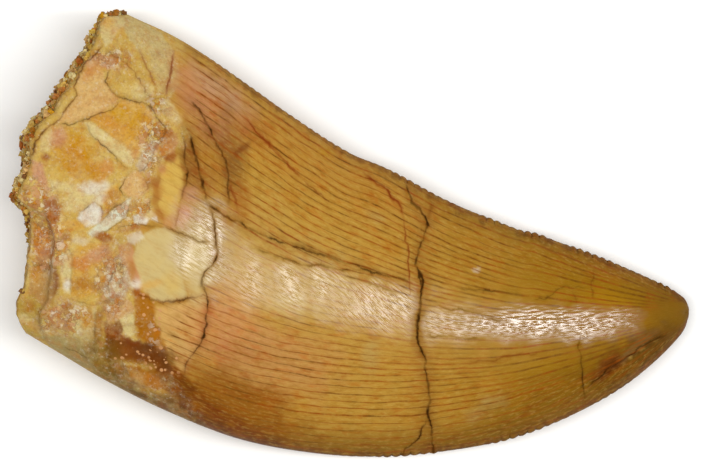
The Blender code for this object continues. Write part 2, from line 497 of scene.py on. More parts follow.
    def hollows(self, v: np.ndarray, point: np.ndarray) -> np.ndarray:
        """Give how much is missing from the upper side: the ledge, the brown patch and the flake.

        Args:
            v: share across the crown.
            point: rows of x and y.

        Returns:
            The missing depth of each point.
        """
        from_base = np.linalg.norm(point - self.base.at(v), axis=1)
        ledge = smoothstep(0.62, 0.70, v) * (1.0 - smoothstep(0.93, 1.0, v))
        near_base = 1.0 - smoothstep(self.ledge_width - 0.4, self.ledge_width, from_base)
        lost = self.ledge_drop * ledge * near_base
        away = np.linalg.norm((point - self.patch_centre) / np.array(self.patch_reach), axis=1)
        lost += self.patch_depth * (1.0 - smoothstep(0.7, 1.0, away))
        side, share = self.flake.nearest(point, margin=self.flake_width)
        ends = smoothstep(0.0, 0.15, share) * (1.0 - smoothstep(0.8, 1.0, share))
        inside = (side > 0.0) & (share > 0.0) & (share < 1.0)
        return lost + self.flake_depth * ends * inside * (1.0 - smoothstep(0.0, self.flake_width, side))

    def crown(self, u: np.ndarray, v: np.ndarray, upper: np.ndarray) -> np.ndarray:
        """Give points on the crown.

        Args:
            u: share along the edges.
            v: share across.
            upper: whether each point is on the upper side.

        Returns:
            Rows of x, y and z.
        """
        deep = self.thickness(u) * self.lens(u, v)
        height = self.edge_height(u)
        distal_rim = mix(self.rim_setback_distal, self.rim_setback_mesial, smoothstep(0.45, 0.60, v))
        place = self.plan(u, v, np.where(upper, distal_rim, self.rim_setback_mesial))
        lost = np.minimum(self.hollows(v, place), 0.8 * self.upper_share * deep)
        above = height + self.upper_share * deep - lost
        below = np.maximum(0.0, height - (1.0 - self.upper_share) * deep)
        return np.column_stack([place, np.where(upper, above, below)])

    def broken_face(self, rim: np.ndarray, v: np.ndarray, share: np.ndarray) -> np.ndarray:
        """Give points on the broken face of the base.

        Args:
            rim: the rim's points, one for each.
            v: share across.
            share: 0 on the line along the middle of the face, 1 at the rim.

        Returns:
            Rows of x, y and z.
        """
        out = self.base.at(0.5 + (v - 0.5) * mix(0.90, 1.0, share))
        swell = np.sqrt(np.clip(1.0 - share ** 2.5, 0.0, 1.0))
        height = mix(self.edge_height(np.zeros(1)), rim[:, 2], share)
        place = mix(rim[:, :2], out, swell[:, None])
        lump = value_noise(np.column_stack([place[:, 1], height]) * 0.9, 3)
        place[:, 0] += self.base_lump * (0.6 * lump - 0.4) * np.sin(math.pi * v) * (1.0 - share)
        return np.column_stack([place, height])

    def place(self, spots: np.ndarray) -> np.ndarray:
        """Give points anywhere on the tooth.

        Args:
            spots: rows of run, across and side. Run goes from -1 on the middle of the broken face over 0 at
                its rim to 1 at the tip, across from 0 at the distal edge to 1 at the mesial one, and side is
                below 0 only on the lower side.

        Returns:
            Rows of x, y and z.
        """
        run, across, side = spots.T
        point = self.crown(np.clip(run, 0.0, 1.0), across, side >= 0.0)
        broken = run < 0.0
        point[broken] = self.broken_face(point[broken], across[broken], 1.0 + run[broken])
        return point


class Node(Enum):
    """The shader nodes that the finishes use."""

    ATTRIBUTE = "ShaderNodeAttribute"
    BUMP = "ShaderNodeBump"
    COMBINE = "ShaderNodeCombineXYZ"
    COORDINATE = "ShaderNodeTexCoord"
    MAP_RANGE = "ShaderNodeMapRange"
    MATH = "ShaderNodeMath"
    MIX = "ShaderNodeMix"
    NOISE = "ShaderNodeTexNoise"
    SEPARATE = "ShaderNodeSeparateColor"
    VECTOR_MATH = "ShaderNodeVectorMath"
    VORONOI = "ShaderNodeTexVoronoi"
    WHITE_NOISE = "ShaderNodeTexWhiteNoise"


def add(tree: bpy.types.NodeTree, kind: Node, inputs: dict, out: int | str = 0,
        **settings: object) -> object:
    """Add a node with its settings and links.

    Args:
        tree: the material's node tree.
        kind: which node.
        inputs: for each input's name or number, an output to link or a value to set.
        out: the name or number of the output to give back.
        **settings: the node's own properties.

    Returns:
        The output.
    """
    node = tree.nodes.new(kind.value)
    for name, value in settings.items():
        setattr(node, name, value)
    for name, value in inputs.items():
        if isinstance(value, bpy.types.NodeSocket):
            tree.links.new(value, node.inputs[name])
        else:
            node.inputs[name].default_value = value
    return node.outputs[out]


# What the finish reads from the mesh, besides the tint.
FIELDS = ("along", "line", "spacing", "sparse", "braid", "enamel", "growth", "crack", "rust", "sand", "patch",
          "crushed", "gloss")


def unveiled(colour: str) -> np.ndarray:
    """Give a seen colour's own linear values, without the veil of light that the surface mirrors."""
    return np.clip((linear(colour) - MIRRORED_WALLS) / (1.0 - MIRRORED_WALLS), 0.002, 1.0)


def opaque(colour: str) -> tuple[float, float, float, float]:
    """Give a hex colour as the four linear values that a colour socket takes."""
    return (*unveiled(colour), 1.0)


def placed(name: str, data: bpy.types.ID) -> bpy.types.Object:
    """Add an object with this name and data to the scene."""
    made = bpy.data.objects.new(name, data)
    bpy.context.scene.collection.objects.link(made)
    return made


def new_material(name: str) -> tuple[bpy.types.Material, bpy.types.Node]:
    """Make a material with nodes, and give its shader with it."""
    material = bpy.data.materials.new(name)
    material.use_nodes = True
    return material, material.node_tree.nodes["Principled BSDF"]


def tint_points(data: bpy.types.Mesh, colour: np.ndarray) -> None:
    """Give each point of a mesh its linear colour."""
    layer = data.attributes.new("tint", "FLOAT_COLOR", "POINT")
    whole = np.column_stack([colour, np.ones(len(colour))])
    layer.data.foreach_set("color", whole.astype(np.float32).ravel())


def place_in_mm(tree: bpy.types.NodeTree) -> object:
    """Give the place on the object in millimetres."""
    place = add(tree, Node.COORDINATE, {}, "Object")
    return add(tree, Node.VECTOR_MATH, {0: place, "Scale": 1.0 / MM}, operation="SCALE")


@dataclass(frozen=True)
class FossilEnamel:
    """Fossil enamel over dentine: worn by hand and brush, mineral-stained honey to olive.

    The enamel was never cut or ground, so it keeps its own fine wrinkles: the eye gets a broken, sparkling
    highlight along the crest, with thin rust-brown growth lines under it. Where it has chipped off, dentine
    shows, chalkier and less shiny, and sand is cemented into the broken base.
    """

    line_orange: str = "#a8641a"
    line_red: str = "#8c4810"
    line_dark: str = "#663e0e"
    crack_dark: str = "#3c270e"
    rust: str = "#84380e"
    light_film: str = "#d9bd7c"
    dark_film: str = "#8a5a16"
    cream_film: str = "#bd9b52"
    orange_film: str = "#a8641e"
    grain_orange: str = "#b5772c"
    # Painted shade for the gaps between sand grains.
    grain_gap_shade: str = "#4a2a0c"
    grain_pale: str = "#cdb87e"
    speck_pale: str = "#c08c5c"
    rust_dust: str = "#ac6418"
    pale_dust: str = "#d6c080"
    chalk_dust: str = "#ddd5bd"
    mauve_dust: str = "#9a6e50"
    joint_dark: str = "#5f401c"
    ior: float = 1.62
    plain_gloss: float = 0.30
    dull_level: float = 0.04
    polished_level: float = 0.85
    enamel_roughness: float = 0.11
    dentine_roughness: float = 0.50
    sand_roughness: float = 0.85

    def build(self) -> bpy.types.Material:
        """Make the material with its nodes."""
        material, shader = new_material("fossil_enamel")
        tree = material.node_tree
        field = {name: add(tree, Node.ATTRIBUTE, {}, "Fac", attribute_name=name, attribute_type="GEOMETRY")
                 for name in FIELDS}
        field["tint"] = add(tree, Node.ATTRIBUTE, {}, "Color", attribute_name="tint",
                            attribute_type="GEOMETRY")
        place = place_in_mm(tree)
        colour = self.mottled(tree, field, place)
        colour = self.growth_lines(tree, field, colour, place)
        colour = self.sandy(tree, field, place, colour)
        colour = self.chipped(tree, field, place, colour)
        colour = self.speckled(tree, field, place, colour)
        colour = add(tree, Node.MIX, {0: field["rust"], 6: colour, 7: opaque(self.rust)}, 2,
                     data_type="RGBA")
        line = add(tree, Node.MATH, {0: field["crack"], 1: 1.9}, operation="POWER")
        colour = add(tree, Node.MIX, {0: line, 6: colour, 7: opaque(self.crack_dark)}, 2,
                     data_type="RGBA")
        tree.links.new(colour, shader.inputs["Base Color"])
        level = add(tree, Node.MAP_RANGE, {
            "Value": field["gloss"], "From Min": self.plain_gloss, "To Min": self.dull_level,
            "To Max": self.polished_level})
        clear = add(tree, Node.MATH, {0: 1.0, 1: field["crack"]}, operation="SUBTRACT")
        level = add(tree, Node.MATH, {0: level, 1: clear}, operation="MULTIPLY")
        tree.links.new(level, shader.inputs["Specular IOR Level"])
        rough = add(tree, Node.MAP_RANGE, {
            "Value": field["gloss"], "To Min": self.dentine_roughness, "To Max": self.enamel_roughness})
        worn = add(tree, Node.MATH, {
            0: add(tree, Node.NOISE, {"Vector": place, "Scale": 0.8, "Detail": 3.0}), 1: 0.12, 2: rough},
            operation="MULTIPLY_ADD")
        dull = add(tree, Node.MATH, {0: field["sand"], 1: field["crack"]}, operation="MAXIMUM")
        rough = add(tree, Node.MAP_RANGE, {"Value": dull, "To Min": worn, "To Max": self.sand_roughness})
        tree.links.new(rough, shader.inputs["Roughness"])
        tree.links.new(self.wrinkles(tree, field, place), shader.inputs["Normal"])
        shader.inputs["IOR"].default_value = self.ior
        return material

    def mottled(self, tree: bpy.types.NodeTree, field: dict, place: object) -> object:
        """Cloud the ground colour with paler and darker films, 0.5 to 1.5 mm across.

        Args:
            tree: the material's node tree.
            field: the mesh's attributes.
            place: the place on the tooth in millimetres.

        Returns:
            The colour.
        """
        broad = add(tree, Node.NOISE, {"Vector": place, "Scale": 0.7, "Detail": 4.0, "Roughness": 0.6})
        pale = add(tree, Node.MAP_RANGE, {
            "Value": broad, "From Min": 0.50, "From Max": 0.75, "To Min": 0.0, "To Max": 0.22})
        colour = add(tree, Node.MIX, {0: pale, 6: field["tint"], 7: opaque(self.light_film)}, 2,
                     data_type="RGBA", blend_type="SOFT_LIGHT")
        stretched = add(tree, Node.COMBINE, {
            0: add(tree, Node.MATH, {0: field["along"], 1: 1.0}, operation="MULTIPLY"),
            1: add(tree, Node.MATH, {0: field["line"], 1: 1.7}, operation="MULTIPLY")})
        filmed = add(tree, Node.MAP_RANGE, {"Value": field["growth"], "To Min": 0.40})
        filmed = add(tree, Node.MATH, {0: filmed, 1: field["enamel"]}, operation="MULTIPLY")
        for scale, low, high, most, film in ((1.0, 0.45, 0.72, 0.60, self.dark_film),
                                             (1.9, 0.50, 0.68, 0.32, self.cream_film),
                                             (0.6, 0.52, 0.66, 0.45, self.orange_film)):
            fine = add(tree, Node.NOISE, {
                "Vector": stretched, "Scale": scale, "Detail": 4.0, "Roughness": 0.65})
            shade = add(tree, Node.MAP_RANGE, {
                "Value": fine, "From Min": low, "From Max": high, "To Max": most})
            shade = add(tree, Node.MATH, {0: shade, 1: filmed}, operation="MULTIPLY")
            colour = add(tree, Node.MIX, {0: shade, 6: colour, 7: opaque(film)}, 2, data_type="RGBA",
                         blend_type="SOFT_LIGHT" if film == self.orange_film else "MIX")
        return colour

    def growth_lines(self, tree: bpy.types.NodeTree, field: dict, colour: object, place: object) -> object:
        """Draw the rust-brown growth lines 0.5 mm apart, with finer orange ones between them.

        Where the lines crowd toward the tip, only every other one is drawn.

        Args:
            tree: the material's node tree.
            field: the mesh's attributes.
            colour: the colour under the lines.
            place: the place on the tooth in millimetres.

        Returns:
            The colour.
        """
        number = field["line"]
        for along, across, sway, detail in ((0.22, 0.30, 0.9, 2.0), (1.1, 0.8, 0.2, 3.0)):
            point = add(tree, Node.COMBINE, {
                0: add(tree, Node.MATH, {0: field["along"], 1: along}, operation="MULTIPLY"),
                1: add(tree, Node.MATH, {0: field["line"], 1: across}, operation="MULTIPLY")})
            noise = add(tree, Node.NOISE, {"Vector": point, "Scale": 1.0, "Detail": detail})
            number = add(tree, Node.MATH, {0: noise, 1: sway, 2: number}, operation="MULTIPLY_ADD")
        warm = add(tree, Node.NOISE, {"Vector": place, "Scale": 0.6, "Detail": 3.0})
        warm = add(tree, Node.MAP_RANGE, {"Value": warm, "From Min": 0.40, "From Max": 0.60})
        between = add(tree, Node.MATH, {0: number, 1: 2.0, 2: 0.5}, operation="MULTIPLY_ADD")
        every_other = add(tree, Node.MATH, {0: number, 1: 0.5}, operation="MULTIPLY")
        for count, width, power, shown_where, pale, dark in (
                (between, 0.12, 0.32, "growth", self.line_orange, self.line_red),
                (every_other, 0.062, 1.0, "sparse", self.line_red, self.line_dark),
                (number, 0.110, 1.0, "growth", self.line_red, self.line_dark)):
            ink = add(tree, Node.MIX, {0: warm, 6: opaque(pale), 7: opaque(dark)}, 2, data_type="RGBA")
            shown = self.strands(tree, field, count, width, power)
            shown = add(tree, Node.MATH, {0: shown, 1: field[shown_where]}, operation="MULTIPLY")
            colour = add(tree, Node.MIX, {0: shown, 6: colour, 7: ink}, 2, data_type="RGBA")
        return colour

    @staticmethod
    def strands(tree: bpy.types.NodeTree, field: dict, number: object, width: float, power: float) -> object:
        """Draw one set of lines, each with its own width and strength, broken here and there.

        Args:
            tree: the material's node tree.
            field: the mesh's attributes.
            number: the count of lines across the crown, whole at each line.
            width: half the widest line's width in millimetres, for a count that goes up by 1 a line. A count
                that is half as fast draws its lines twice as wide.
            power: how strongly the strongest line shows.

        Returns:
            How strongly a line shows, from 0 to 1.
        """
        away = add(tree, Node.MATH, {
            0: add(tree, Node.MATH, {0: number, 1: 0.5}, operation="PINGPONG"), 1: field["spacing"]},
            operation="MULTIPLY")
        index = add(tree, Node.MATH, {0: number}, operation="ROUND")
        chance = add(tree, Node.WHITE_NOISE, {"W": index}, "Value", noise_dimensions="1D")
        breaks = add(tree, Node.NOISE, {
            "Vector": add(tree, Node.COMBINE, {
                0: add(tree, Node.MATH, {0: field["along"], 1: 0.75}, operation="MULTIPLY"),
                1: add(tree, Node.MATH, {0: index, 1: 5.3}, operation="MULTIPLY")}),
            "Scale": 1.0, "Detail": 4.0, "Roughness": 0.7})
        whole = add(tree, Node.MAP_RANGE, {
            "Value": breaks, "From Min": 0.34, "From Max": 0.58, "To Min": 0.30, "To Max": 1.0})
        half = add(tree, Node.MAP_RANGE, {"Value": chance, "To Min": 0.6 * width, "To Max": width})
        core = add(tree, Node.MAP_RANGE, {
            "Value": away, "From Min": 0.012, "From Max": half, "To Min": 1.0, "To Max": 0.0},
            interpolation_type="SMOOTHSTEP")
        strong = add(tree, Node.MAP_RANGE, {"Value": chance, "To Min": 0.6 * power, "To Max": power})
        drawn = add(tree, Node.MATH, {0: core, 1: strong}, operation="MULTIPLY")
        return add(tree, Node.MATH, {0: drawn, 1: whole}, operation="MULTIPLY")

    def sandy(self, tree: bpy.types.NodeTree, field: dict, place: object, colour: object) -> object:
        """Cover the broken base with cemented sand: grains of 0.2 to 0.4 mm with painted shade in the gaps
        between them.

        Args:
            tree: the material's node tree.
            field: the mesh's attributes.
            place: the place on the tooth in millimetres.
            colour: the colour under the sand.

        Returns:
            The colour.
        """
        grains = add(tree, Node.VORONOI, {"Vector": place, "Scale": 2.6}, "Distance")
        hue = add(tree, Node.NOISE, {"Vector": place, "Scale": 2.2, "Detail": 2.0})
        sand = add(tree, Node.MIX, {
            0: add(tree, Node.MAP_RANGE, {"Value": hue, "From Min": 0.42, "From Max": 0.66}),
            6: opaque(self.grain_orange), 7: opaque(self.grain_pale)}, 2, data_type="RGBA")
        # Painted shade in the gaps between the sand grains.
        sand = add(tree, Node.MIX, {
            0: add(tree, Node.MAP_RANGE, {"Value": grains, "From Min": 0.38, "From Max": 0.70}),
            6: sand, 7: opaque(self.grain_gap_shade)}, 2, data_type="RGBA")
        sand = add(tree, Node.MIX, {0: 0.45, 6: sand, 7: field["tint"]}, 2, data_type="RGBA")
        return add(tree, Node.MIX, {0: field["sand"], 6: colour, 7: sand}, 2, data_type="RGBA")

    def chipped(self, tree: bpy.types.NodeTree, field: dict, place: object, colour: object) -> object:
        """Fleck the bare dentine with rust, chalk and mauve of 0.2 to 1 mm, and break up its crushed parts.

        Args:
            tree: the material's node tree.
            field: the mesh's attributes.
            place: the place on the tooth in millimetres.
            colour: the colour of the unbroken surface.

        Returns:
            The colour.
        """
        bare = add(tree, Node.MATH, {0: 1.0, 1: field["enamel"]}, operation="SUBTRACT")
        amount = add(tree, Node.MAP_RANGE, {"Value": field["crushed"], "To Min": 0.60, "To Max": 1.0})
        unspecked = add(tree, Node.MAP_RANGE, {"Value": field["patch"], "To Min": 1.0, "To Max": 0.12})
        for share in (bare, unspecked):
            amount = add(tree, Node.MATH, {0: amount, 1: share}, operation="MULTIPLY")
        for number, (scale, low, high, most, tint) in enumerate((
                (1.0, 0.44, 0.66, 0.55, self.pale_dust), (1.4, 0.48, 0.66, 0.70, self.rust_dust),
                (2.4, 0.50, 0.66, 0.60, self.mauve_dust), (5.5, 0.46, 0.70, 0.50, self.joint_dark),
                (3.4, 0.54, 0.68, 0.50, self.chalk_dust))):
            noise = add(tree, Node.NOISE, {
                "Vector": place, "W": 3.7 * number, "Scale": scale, "Detail": 5.0, "Roughness": 0.75},
                noise_dimensions="4D")
            share = add(tree, Node.MAP_RANGE, {
                "Value": noise, "From Min": low, "From Max": high, "To Max": most})
            share = add(tree, Node.MATH, {0: share, 1: amount}, operation="MULTIPLY")
            colour = add(tree, Node.MIX, {0: share, 6: colour, 7: opaque(tint)}, 2, data_type="RGBA")
        bent = add(tree, Node.NOISE, {
            "Vector": place, "Scale": 2.0, "Detail": 4.0, "Roughness": 0.7}, "Color")
        bent = add(tree, Node.VECTOR_MATH, {0: bent, 1: (1.2, 1.2, 1.2), 2: place},
                   operation="MULTIPLY_ADD")
        mosaic = {"Vector": bent, "Scale": 3.0}
        chance = add(tree, Node.VORONOI, mosaic, "Color")
        broken = add(tree, Node.MATH, {0: field["crushed"], 1: bare}, operation="MULTIPLY")
        for channel, low, high, most, tint in ((0, 0.68, 0.80, 0.40, self.chalk_dust),
                                               (1, 0.70, 0.80, 0.60, self.rust_dust),
                                               (2, 0.66, 0.78, 0.45, self.mauve_dust)):
            share = add(tree, Node.SEPARATE, {0: chance}, channel)
            share = add(tree, Node.MAP_RANGE, {
                "Value": share, "From Min": low, "From Max": high, "To Max": most})
            share = add(tree, Node.MATH, {0: share, 1: broken}, operation="MULTIPLY")
            colour = add(tree, Node.MIX, {0: share, 6: colour, 7: opaque(tint)}, 2, data_type="RGBA")
        joint = add(tree, Node.VORONOI, mosaic, "Distance", feature="DISTANCE_TO_EDGE")
        dark = add(tree, Node.MAP_RANGE, {
            "Value": joint, "From Min": 0.01, "From Max": 0.10, "To Min": 0.70, "To Max": 0.0})
        gaps = add(tree, Node.MAP_RANGE, {
            "Value": add(tree, Node.NOISE, {"Vector": place, "Scale": 0.8, "Detail": 3.0}),
            "From Min": 0.46, "From Max": 0.60, "To Min": 0.12})
        for share in (gaps, broken):
            dark = add(tree, Node.MATH, {0: dark, 1: share}, operation="MULTIPLY")
        return add(tree, Node.MIX, {0: dark, 6: colour, 7: opaque(self.joint_dark)}, 2, data_type="RGBA")

    def speckled(self, tree: bpy.types.NodeTree, field: dict, place: object, colour: object) -> object:
        """Put the pale specks, up to 0.35 mm across and 0.4 mm apart, on the bare brown patch.

        Args:
            tree: the material's node tree.
            field: the mesh's attributes.
            place: the place on the tooth in millimetres.
            colour: the colour under the specks.

        Returns:
            The colour.
        """
        cells = add(tree, Node.VORONOI, {"Vector": place, "Scale": 2.5, "Randomness": 1.0}, "Distance")
        chance = add(tree, Node.SEPARATE, {0: cells.node.outputs["Color"]})
        reach = add(tree, Node.MAP_RANGE, {"Value": chance, "To Min": 0.06, "To Max": 0.48})
        inside = add(tree, Node.MATH, {0: reach, 1: cells}, operation="SUBTRACT")
        speck = add(tree, Node.MAP_RANGE, {
            "Value": inside, "From Min": 0.0, "From Max": 0.10, "To Max": 0.95})
        amount = add(tree, Node.MATH, {0: speck, 1: field["patch"]}, operation="MULTIPLY")
        return add(tree, Node.MIX, {0: amount, 6: colour, 7: opaque(self.speck_pale)}, 2,
                   data_type="RGBA")

    def wrinkles(self, tree: bpy.types.NodeTree, field: dict, place: object) -> object:
        """Raise the enamel's braided wrinkles, 0.9 mm long and 0.2 mm wide, and the sand's grains.

        Real wrinkles are finer. These are as fine as a picture of 14 pixels to a millimetre can show.

        Args:
            tree: the material's node tree.
            field: the mesh's attributes.
            place: the place on the tooth in millimetres.

        Returns:
            The surface's normal.
        """
        braid = add(tree, Node.COMBINE, {
            0: add(tree, Node.MATH, {0: field["along"], 1: 1.1}, operation="MULTIPLY"),
            1: add(tree, Node.MATH, {0: field["braid"], 1: 4.8}, operation="MULTIPLY")})
        waved = add(tree, Node.NOISE, {"Vector": braid, "Scale": 0.5, "Detail": 2.0}, "Color")
        braid = add(tree, Node.VECTOR_MATH, {0: waved, 1: (0.8, 1.0, 0.0), 2: braid},
                    operation="MULTIPLY_ADD")
        cells = add(tree, Node.VORONOI, {"Vector": braid, "Scale": 1.0, "Smoothness": 0.5}, "Distance",
                    feature="SMOOTH_F1", voronoi_dimensions="2D")
        depth = add(tree, Node.MAP_RANGE, {
            "Value": field["gloss"], "From Min": self.plain_gloss, "From Max": 0.60,
            "To Min": -0.30, "To Max": -1.0})
        net = add(tree, Node.MATH, {0: cells, 1: depth}, operation="MULTIPLY")
        grit = add(tree, Node.NOISE, {"Vector": place, "Scale": 5.5, "Detail": 3.0, "Roughness": 0.6})
        height = add(tree, Node.MIX, {0: field["enamel"], 2: grit, 3: net})
        fine = add(tree, Node.BUMP, {"Strength": 1.0, "Distance": 0.030 * MM, "Height": height}, "Normal")
        grains = add(tree, Node.VORONOI, {"Vector": place, "Scale": 2.6}, "Distance")
        lumps = add(tree, Node.MATH, {0: grains, 1: field["sand"]}, operation="MULTIPLY")
        return add(tree, Node.BUMP, {
            "Strength": 1.0, "Distance": -0.16 * MM, "Height": lumps, "Normal": fine}, "Normal")


# The numbers after a crack's line are its width, depth and darkness, then its rust and its shade's reach.
CRACKS: tuple[Crack, ...] = (
    # The long dark crack right across the crown, its second strand and its branches at the mesial edge.
    Crack(((404, 180), (407, 188), (411, 203), (424, 215), (428, 222), (424, 234), (419, 253), (417, 266),
           (424, 279), (423, 294), (420, 310), (417, 324), (417, 332), (418, 346), (424, 358), (426, 373),
           (428, 389), (429, 402), (428, 413), (431, 430), (434, 460)),
          0.12, 0.15, 0.94, 0.15, 0.65, through=True),
    Crack(((417, 262), (420, 272), (422, 284), (423, 294)), 0.08, 0.08, 0.8),
    Crack(((428, 413), (424, 424), (418, 436), (407, 446), (400, 458)),
          0.11, 0.09, 0.9, 0.15, through=True),
    # The brown blotch on the flake near the tip, and a soft shade beside the long crack.
    Crack(((598, 379), (605, 373), (612, 366), (621, 359)), 0.50, 0.03, 0.85, 0.30, 0.2),
    Crack(((432, 196), (430, 208), (429, 222)), 0.20, 0.03, 0.30, 0.35, 0.35),
    # Rust-filled hairline cracks.
    Crack(((364, 173), (370, 178), (384, 190), (394, 199), (402, 207), (404, 218)),
          0.085, 0.05, 0.30, 0.95, 0.16),
    Crack(((404, 218), (405, 230), (404, 241), (408, 248), (409, 264), (410, 282), (410, 295)),
          0.05, 0.04, 0.35, 0.75, 0.10),
    Crack(((400, 238), (408, 247), (413, 249)), 0.05, 0.03, 0.2, 0.7, 0.10),
    Crack(((247, 118), (253, 127), (262, 137), (270, 146), (287, 164), (301, 178)),
          0.085, 0.05, 0.25, 0.85, 0.16),
    Crack(((301, 178), (321, 196), (329, 202)), 0.05, 0.03, 0.30, 0.40, 0.10),
    # Long soft dark cracks above the crest.
    Crack(((203, 198), (215, 209), (234, 219), (249, 228), (266, 235), (287, 244), (307, 251), (333, 259),
           (356, 265), (371, 271), (391, 277), (412, 281)), 0.11, 0.03, 0.70, 0.12, 0.60),
    Crack(((283, 241), (300, 246), (321, 254), (340, 259)), 0.16, 0.03, 0.35),
    Crack(((248, 247), (260, 250), (280, 256), (303, 264), (333, 268), (364, 270)),
          0.10, 0.02, 0.54, 0.12, 0.35),
    Crack(((341, 274), (356, 279), (379, 287), (402, 294)), 0.075, 0.04, 0.45),
    # Dark cracks that run down from the top of the base.
    Crack(((188, 98), (200, 114), (211, 130), (217, 144), (224, 158), (228, 173), (229, 190), (227, 204)),
          0.11, 0.11, 0.85, 0.18, 0.55),
    Crack(((254, 140), (245, 147), (235, 155), (229, 160)), 0.22, 0.03, 0.30, 0.35, 0.35),
    Crack(((229, 178), (233, 190), (236, 200), (238, 210)), 0.10, 0.03, 0.25, 0.6),
    Crack(((181, 134), (184, 145), (186, 155), (186, 179), (184, 190), (180, 202)),
          0.10, 0.10, 0.75, 0.15, 0.4),
    Crack(((186, 128), (190, 139), (195, 152), (198, 166), (200, 176), (205, 192), (208, 202)),
          0.11, 0.09, 0.78, 0.15, 0.45),
    Crack(((182, 204), (179, 214), (176, 226), (181, 234)), 0.06, 0.06, 0.55),
    # Thin joints round the white plates.
    Crack(((78, 214), (86, 207), (94, 202)), 0.05, 0.05, 0.60),
    Crack(((94, 202), (100, 207), (104, 213), (98, 223)), 0.045, 0.05, 0.40, 0.5),
    Crack(((128, 207), (125, 217), (108, 229), (93, 237)), 0.045, 0.05, 0.45),
    # The crack that closes off the base, from the glossy plate down to the brown patch.
    Crack(((208, 204), (213, 215), (214, 228), (214, 238), (219, 254), (213, 262), (207, 269), (203, 276),
           (203, 284), (206, 292), (208, 300), (208, 309), (207, 318), (205, 333), (201, 342), (196, 350),
           (190, 358), (185, 365), (182, 378)), 0.085, 0.11, 0.82, 0.20, 0.30, through=True),
    Crack(((133, 293), (142, 297), (153, 300), (165, 302), (173, 302), (183, 299), (191, 297), (204, 294)),
          0.085, 0.09, 0.62, 0.35, 0.25),
    Crack(((162, 226), (171, 230), (181, 234), (190, 238), (199, 241), (213, 243)), 0.06, 0.06, 0.66, 0.10),
    # Cracks between the plates of the chipped base.
    Crack(((104, 47), (107, 51), (113, 57), (120, 59), (127, 64), (135, 73), (142, 83), (148, 91),
           (153, 98)), 0.045, 0.05, 0.40, 0.25),
    Crack(((112, 65), (109, 72), (105, 80), (110, 88), (116, 95), (123, 99), (133, 100), (141, 101),
           (147, 104), (152, 110), (156, 117), (162, 123), (165, 132), (161, 142), (154, 151)),
          0.07, 0.10, 0.72, 0.12),
    Crack(((123, 99), (117, 104), (112, 110), (98, 115), (86, 119), (76, 122), (69, 124), (54, 127)),
          0.055, 0.07, 0.58, 0.10),
    Crack(((86, 119), (88, 128), (93, 137), (104, 145), (112, 153), (118, 161), (124, 166), (130, 170)),
          0.065, 0.09, 0.70),
    Crack(((130, 170), (139, 171), (146, 165), (150, 158), (159, 142)), 0.05, 0.07, 0.45),
    Crack(((130, 172), (125, 180), (121, 188), (124, 195), (130, 198)), 0.055, 0.08, 0.60),
    Crack(((141, 196), (146, 190), (148, 185), (144, 180)), 0.055, 0.07, 0.62),
    Crack(((130, 198), (120, 204), (111, 210), (104, 218), (96, 226)), 0.06, 0.09, 0.52),
    Crack(((134, 197), (127, 209), (125, 218), (126, 226)), 0.05, 0.06, 0.45),
    Crack(((111, 232), (118, 227), (127, 225), (140, 225), (153, 227), (162, 226)), 0.06, 0.07, 0.60, 0.20),
    Crack(((173, 50), (173, 60), (172, 67), (170, 76), (168, 83), (167, 98)),
          0.075, 0.07, 0.25, 0.75, 0.18),
    Crack(((136, 46), (143, 58), (148, 70), (154, 82), (157, 92)), 0.06, 0.04, 0.15, 0.5),
    Crack(((153, 98), (160, 98), (166, 99)), 0.06, 0.06, 0.45, 0.2),
    Crack(((143, 78), (146, 92), (155, 104), (163, 112), (166, 122)), 0.04, 0.04, 0.38),
    Crack(((96, 306), (97, 318), (95, 334), (93, 348)), 0.13, 0.07, 0.42),
    Crack(((75, 301), (84, 303), (92, 305), (100, 303)), 0.06, 0.06, 0.5),
    Crack(((55, 264), (56, 275), (55, 290), (52, 302), (48, 312)), 0.12, 0.08, 0.22, 0.35, 0.35),
    Crack(((32, 264), (42, 266), (54, 266)), 0.05, 0.05, 0.35),
    Crack(((113, 256), (116, 266), (111, 276), (108, 286), (110, 300)), 0.07, 0.07, 0.45),
    Crack(((80, 210), (87, 206), (92, 203)), 0.05, 0.06, 0.45),
    # The joint between the plates and the sandy crust.
    Crack(((104, 44), (96, 53), (86, 61), (79, 73), (74, 88), (77, 96), (67, 108), (57, 121), (46, 130),
           (37, 140), (34, 150), (33, 160)), 0.085, 0.10, 0.66, 0.4, 0.2),
    # Small cracks near the tip.
    Crack(((580, 336), (580, 349), (581, 364), (583, 377), (584, 389), (586, 404)), 0.065, 0.06, 0.72),
    Crack(((593, 268), (593, 280), (592, 289), (594, 304)), 0.08, 0.04, 0.40, 0.2),
    Crack(((572, 288), (575, 296), (577, 304)), 0.05, 0.03, 0.5, 0.2),
    Crack(((647, 289), (649, 297), (651, 304)), 0.05, 0.03, 0.35, 0.4),
    Crack(((430, 304), (449, 309), (470, 311), (490, 318), (510, 322)), 0.07, 0.02, 0.42),
    Crack(((424, 335), (440, 337), (462, 338), (484, 340)), 0.07, 0.02, 0.42),
    Crack(((455, 286), (470, 289), (485, 290), (502, 292), (514, 293), (523, 296)), 0.075, 0.02, 0.60),
    Crack(((530, 300), (545, 299), (565, 286), (580, 287), (592, 289)), 0.055, 0.03, 0.45),
    Crack(((466, 363), (486, 361), (506, 358), (527, 354), (547, 352)), 0.10, 0.03, 0.32, 0.35),
    Crack(((586, 391), (592, 382), (600, 375), (607, 369), (615, 364), (623, 359), (631, 354), (638, 349),
           (645, 344), (655, 339), (668, 333)), 0.08, 0.06, 0.75, 0.0, 0.30),
    # The edge of the brown patch.
    Crack(((100, 334), (112, 328), (124, 338), (138, 345)), 0.10, 0.04, 0.25, 0.4),
    Crack(((58, 346), (72, 352), (86, 357), (98, 357)), 0.05, 0.04, 0.42),
)

